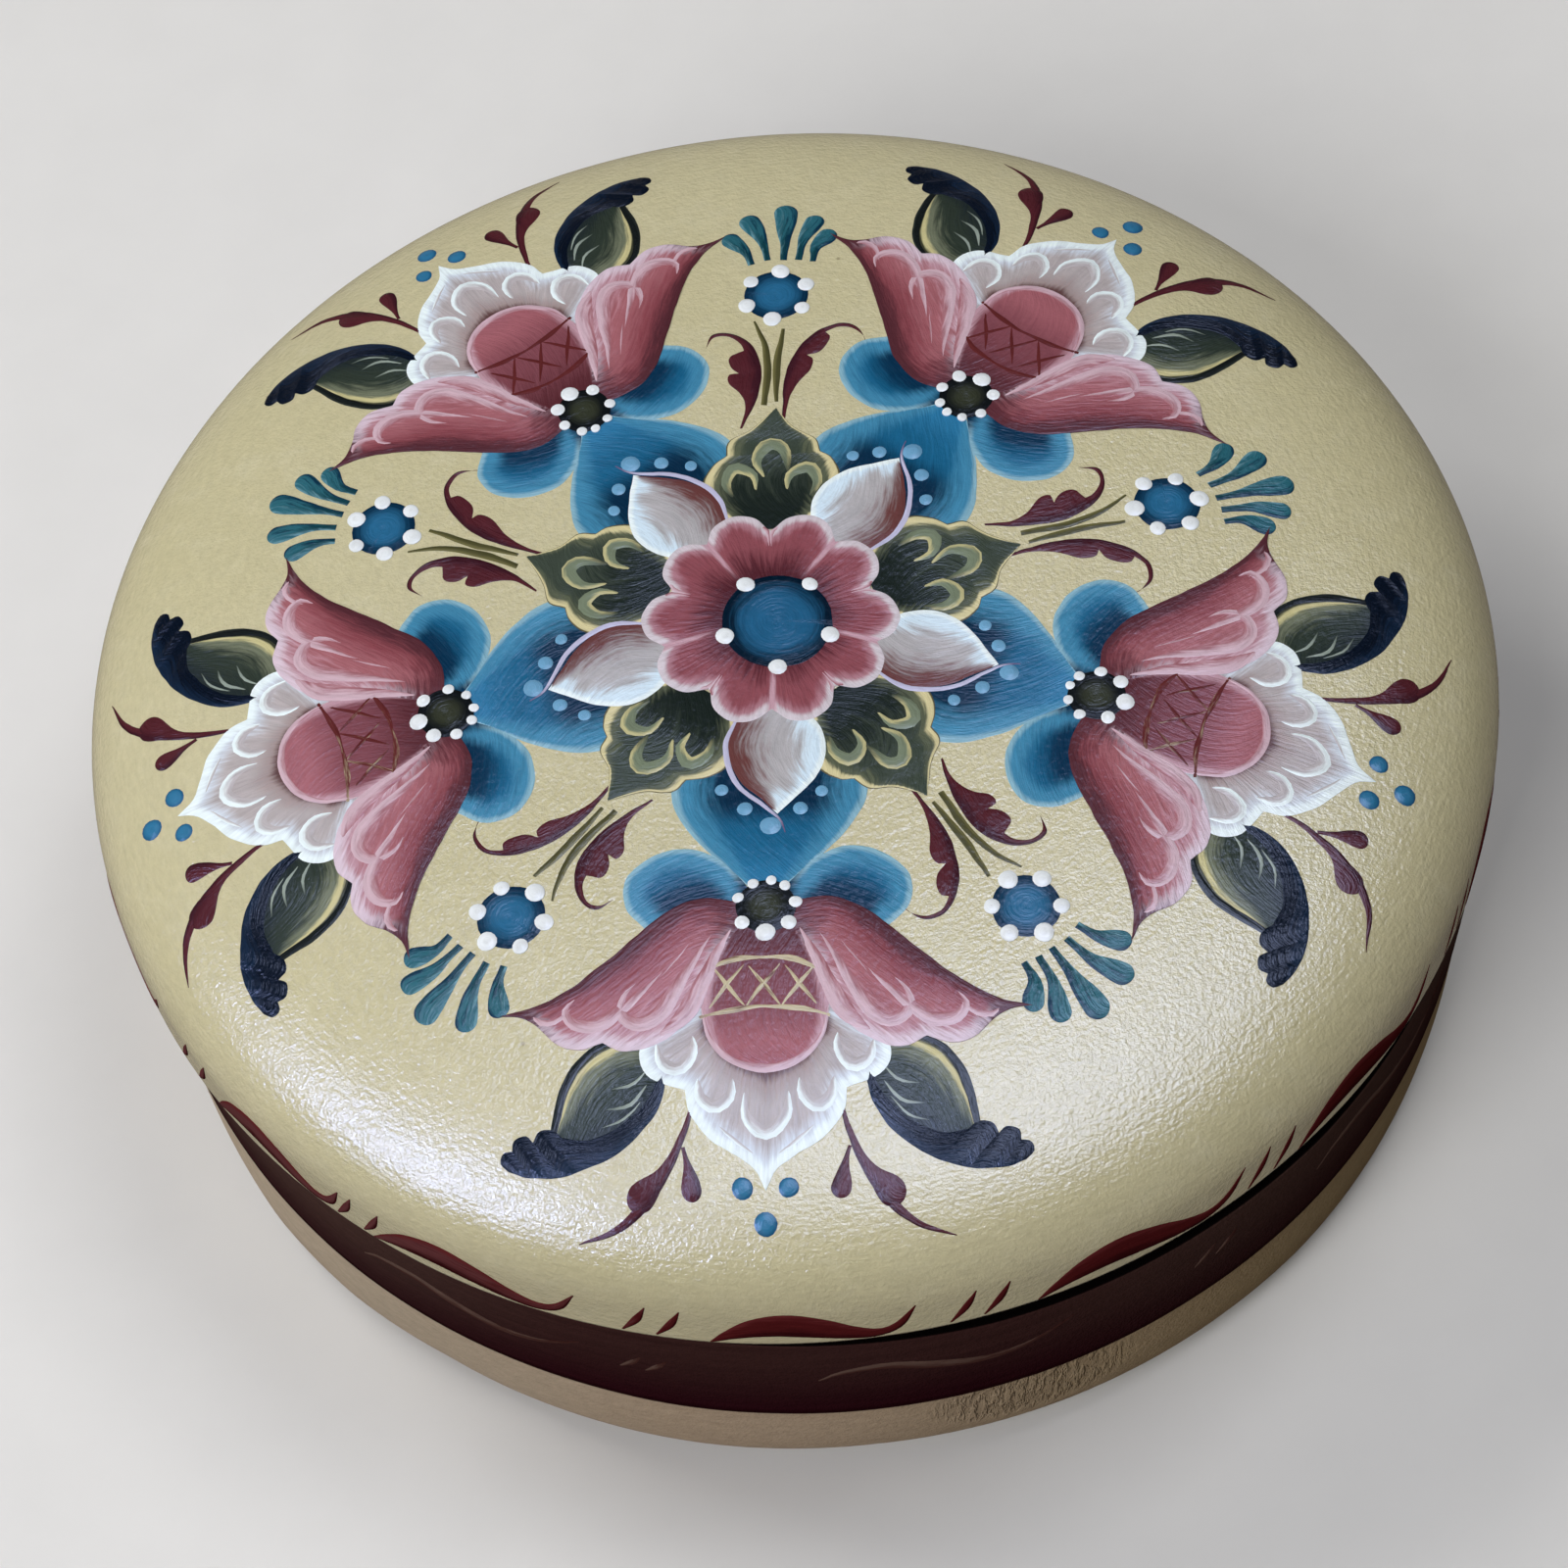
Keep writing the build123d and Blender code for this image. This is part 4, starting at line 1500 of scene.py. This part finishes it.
# %% [markdown]
# ## Borders round the wall
#
# Round the lid's rim runs a border of long S strokes, each followed by two short slanted dashes. The
# hand that painted it didn't measure, so every stroke and every pair of dashes stands a few millimetres
# off the even rhythm, and the strokes differ in length. A fainter border in brown, drawn with a nearly
# dry brush, runs round the maroon band. Their heights are measured from the table.

# %% Borders
def border(strokes, line, press, rows, dash, dash_press, apart):
    """S strokes in an uneven rhythm, each with two dashes; places are (mm along, height)."""
    films = Painting()
    rhythm = 2 * pi * outer_radius / len(strokes)
    for place, (shift, length, dashes_shift) in enumerate(strokes):
        start = place * rhythm
        films.stroke([(start + shift + along * length, height) for along, height in line],
                     press, layer=1, rows=rows)
        for aside in (0.0, apart):
            films.stroke([(start + dashes_shift + aside + along, height) for along, height in dash],
                         dash_press, layer=1)
    return films


rim_strokes = (  # how far off the rhythm a stroke starts, its length, and how far off its dashes stand
    (0.5, 0.88, -7.4), (-10.5, 1.05, -6.0), (-3.5, 0.92, -4.4), (-1.7, 1.06, -2.1), (-2.2, 1.02, 1.8),
    (0.8, 0.96, -1.6), (-2.6, 1.05, 0.9), (1.4, 0.90, -3.2), (-1.2, 1.0, 1.2), (2.0, 0.94, -2.4),
    (-2.8, 1.07, 0.4), (0.6, 0.93, -2.9), (-1.8, 1.03, 1.0), (1.6, 0.91, -3.0), (-1.4, 0.98, 0.2))
rim_paint = oil_paint("rim_border_paint", (88, 29, 31), [
    # painted sheen: the strokes turn lighter towards the box's left
    ("left", 8.0, 52.0, (102, 57, 59)),
    ("across", 0.5, 0.1, (54, 16, 19)),
    ("across", 0.75, 1.0, (102, 42, 44)),
], raggedness=0.9, shine=0.0)
rim_border = border(
    rim_strokes,
    [(0.0, 45.9), (3.0, 48.3), (7.0, 50.5), (11.0, 51.2), (15.5, 50.1), (20.0, 48.2), (24.0, 47.3),
     (27.0, 48.8), (29.6, 53.6)], (0.3, 2.8, 5.4, 6.3, 5.4, 3.7, 2.2, 1.3, 0.2), 9,
    [(32.6, 46.4), (34.6, 49.8), (36.2, 54.0)], (0.3, 1.25, 0.2), 4.6)
lay_on_wall("rim_border", rim_border, rim_paint, "lid", lid, -51.7)

band_strokes = (
    (0.0, 1.0, 0.0), (-1.6, 1.0, 1.2), (2.4, 1.0, -1.0), (-0.8, 1.0, 1.8), (1.8, 1.0, -0.6),
    (-2.2, 1.0, 0.8), (1.2, 1.0, -1.4), (10.5, 1.0, -3.2))
band_paint = oil_paint("band_border_paint", (104, 82, 74), [
    ("along", 0.4, 1.0, (66, 36, 33)),
    ("across", 0.8, 0.2, (74, 46, 42)),
], raggedness=1.2, shine=0.0)
band_border = border(
    band_strokes,
    [(0.0, 32.0), (3.4, 34.4), (9.4, 35.4), (15.6, 33.4), (22.6, 31.6), (28.0, 32.3), (32.0, 34.2),
     (35.4, 36.6)], (0.3, 1.3, 2.0, 2.3, 2.0, 1.4, 0.8, 0.2), 5,
    [(54.4, 31.6), (56.2, 33.6), (57.6, 35.8)], (0.3, 1.1, 0.2), 3.6)
lay_on_wall("band_border", band_border, band_paint, "base", base, 2.0)

# %% [markdown]
# ## Pieces and triangles
#
# The paint may stand a hair's breadth proud of the wood and no more. The painted pieces are
# counted, and the triangles of them and of the lid and base.

# %% Count and end
print("painted pieces", len(laid_pieces), "triangles", sum(
    len(face.vertices) - 2 for piece in laid_pieces + [lid, base] for face in piece.data.polygons))
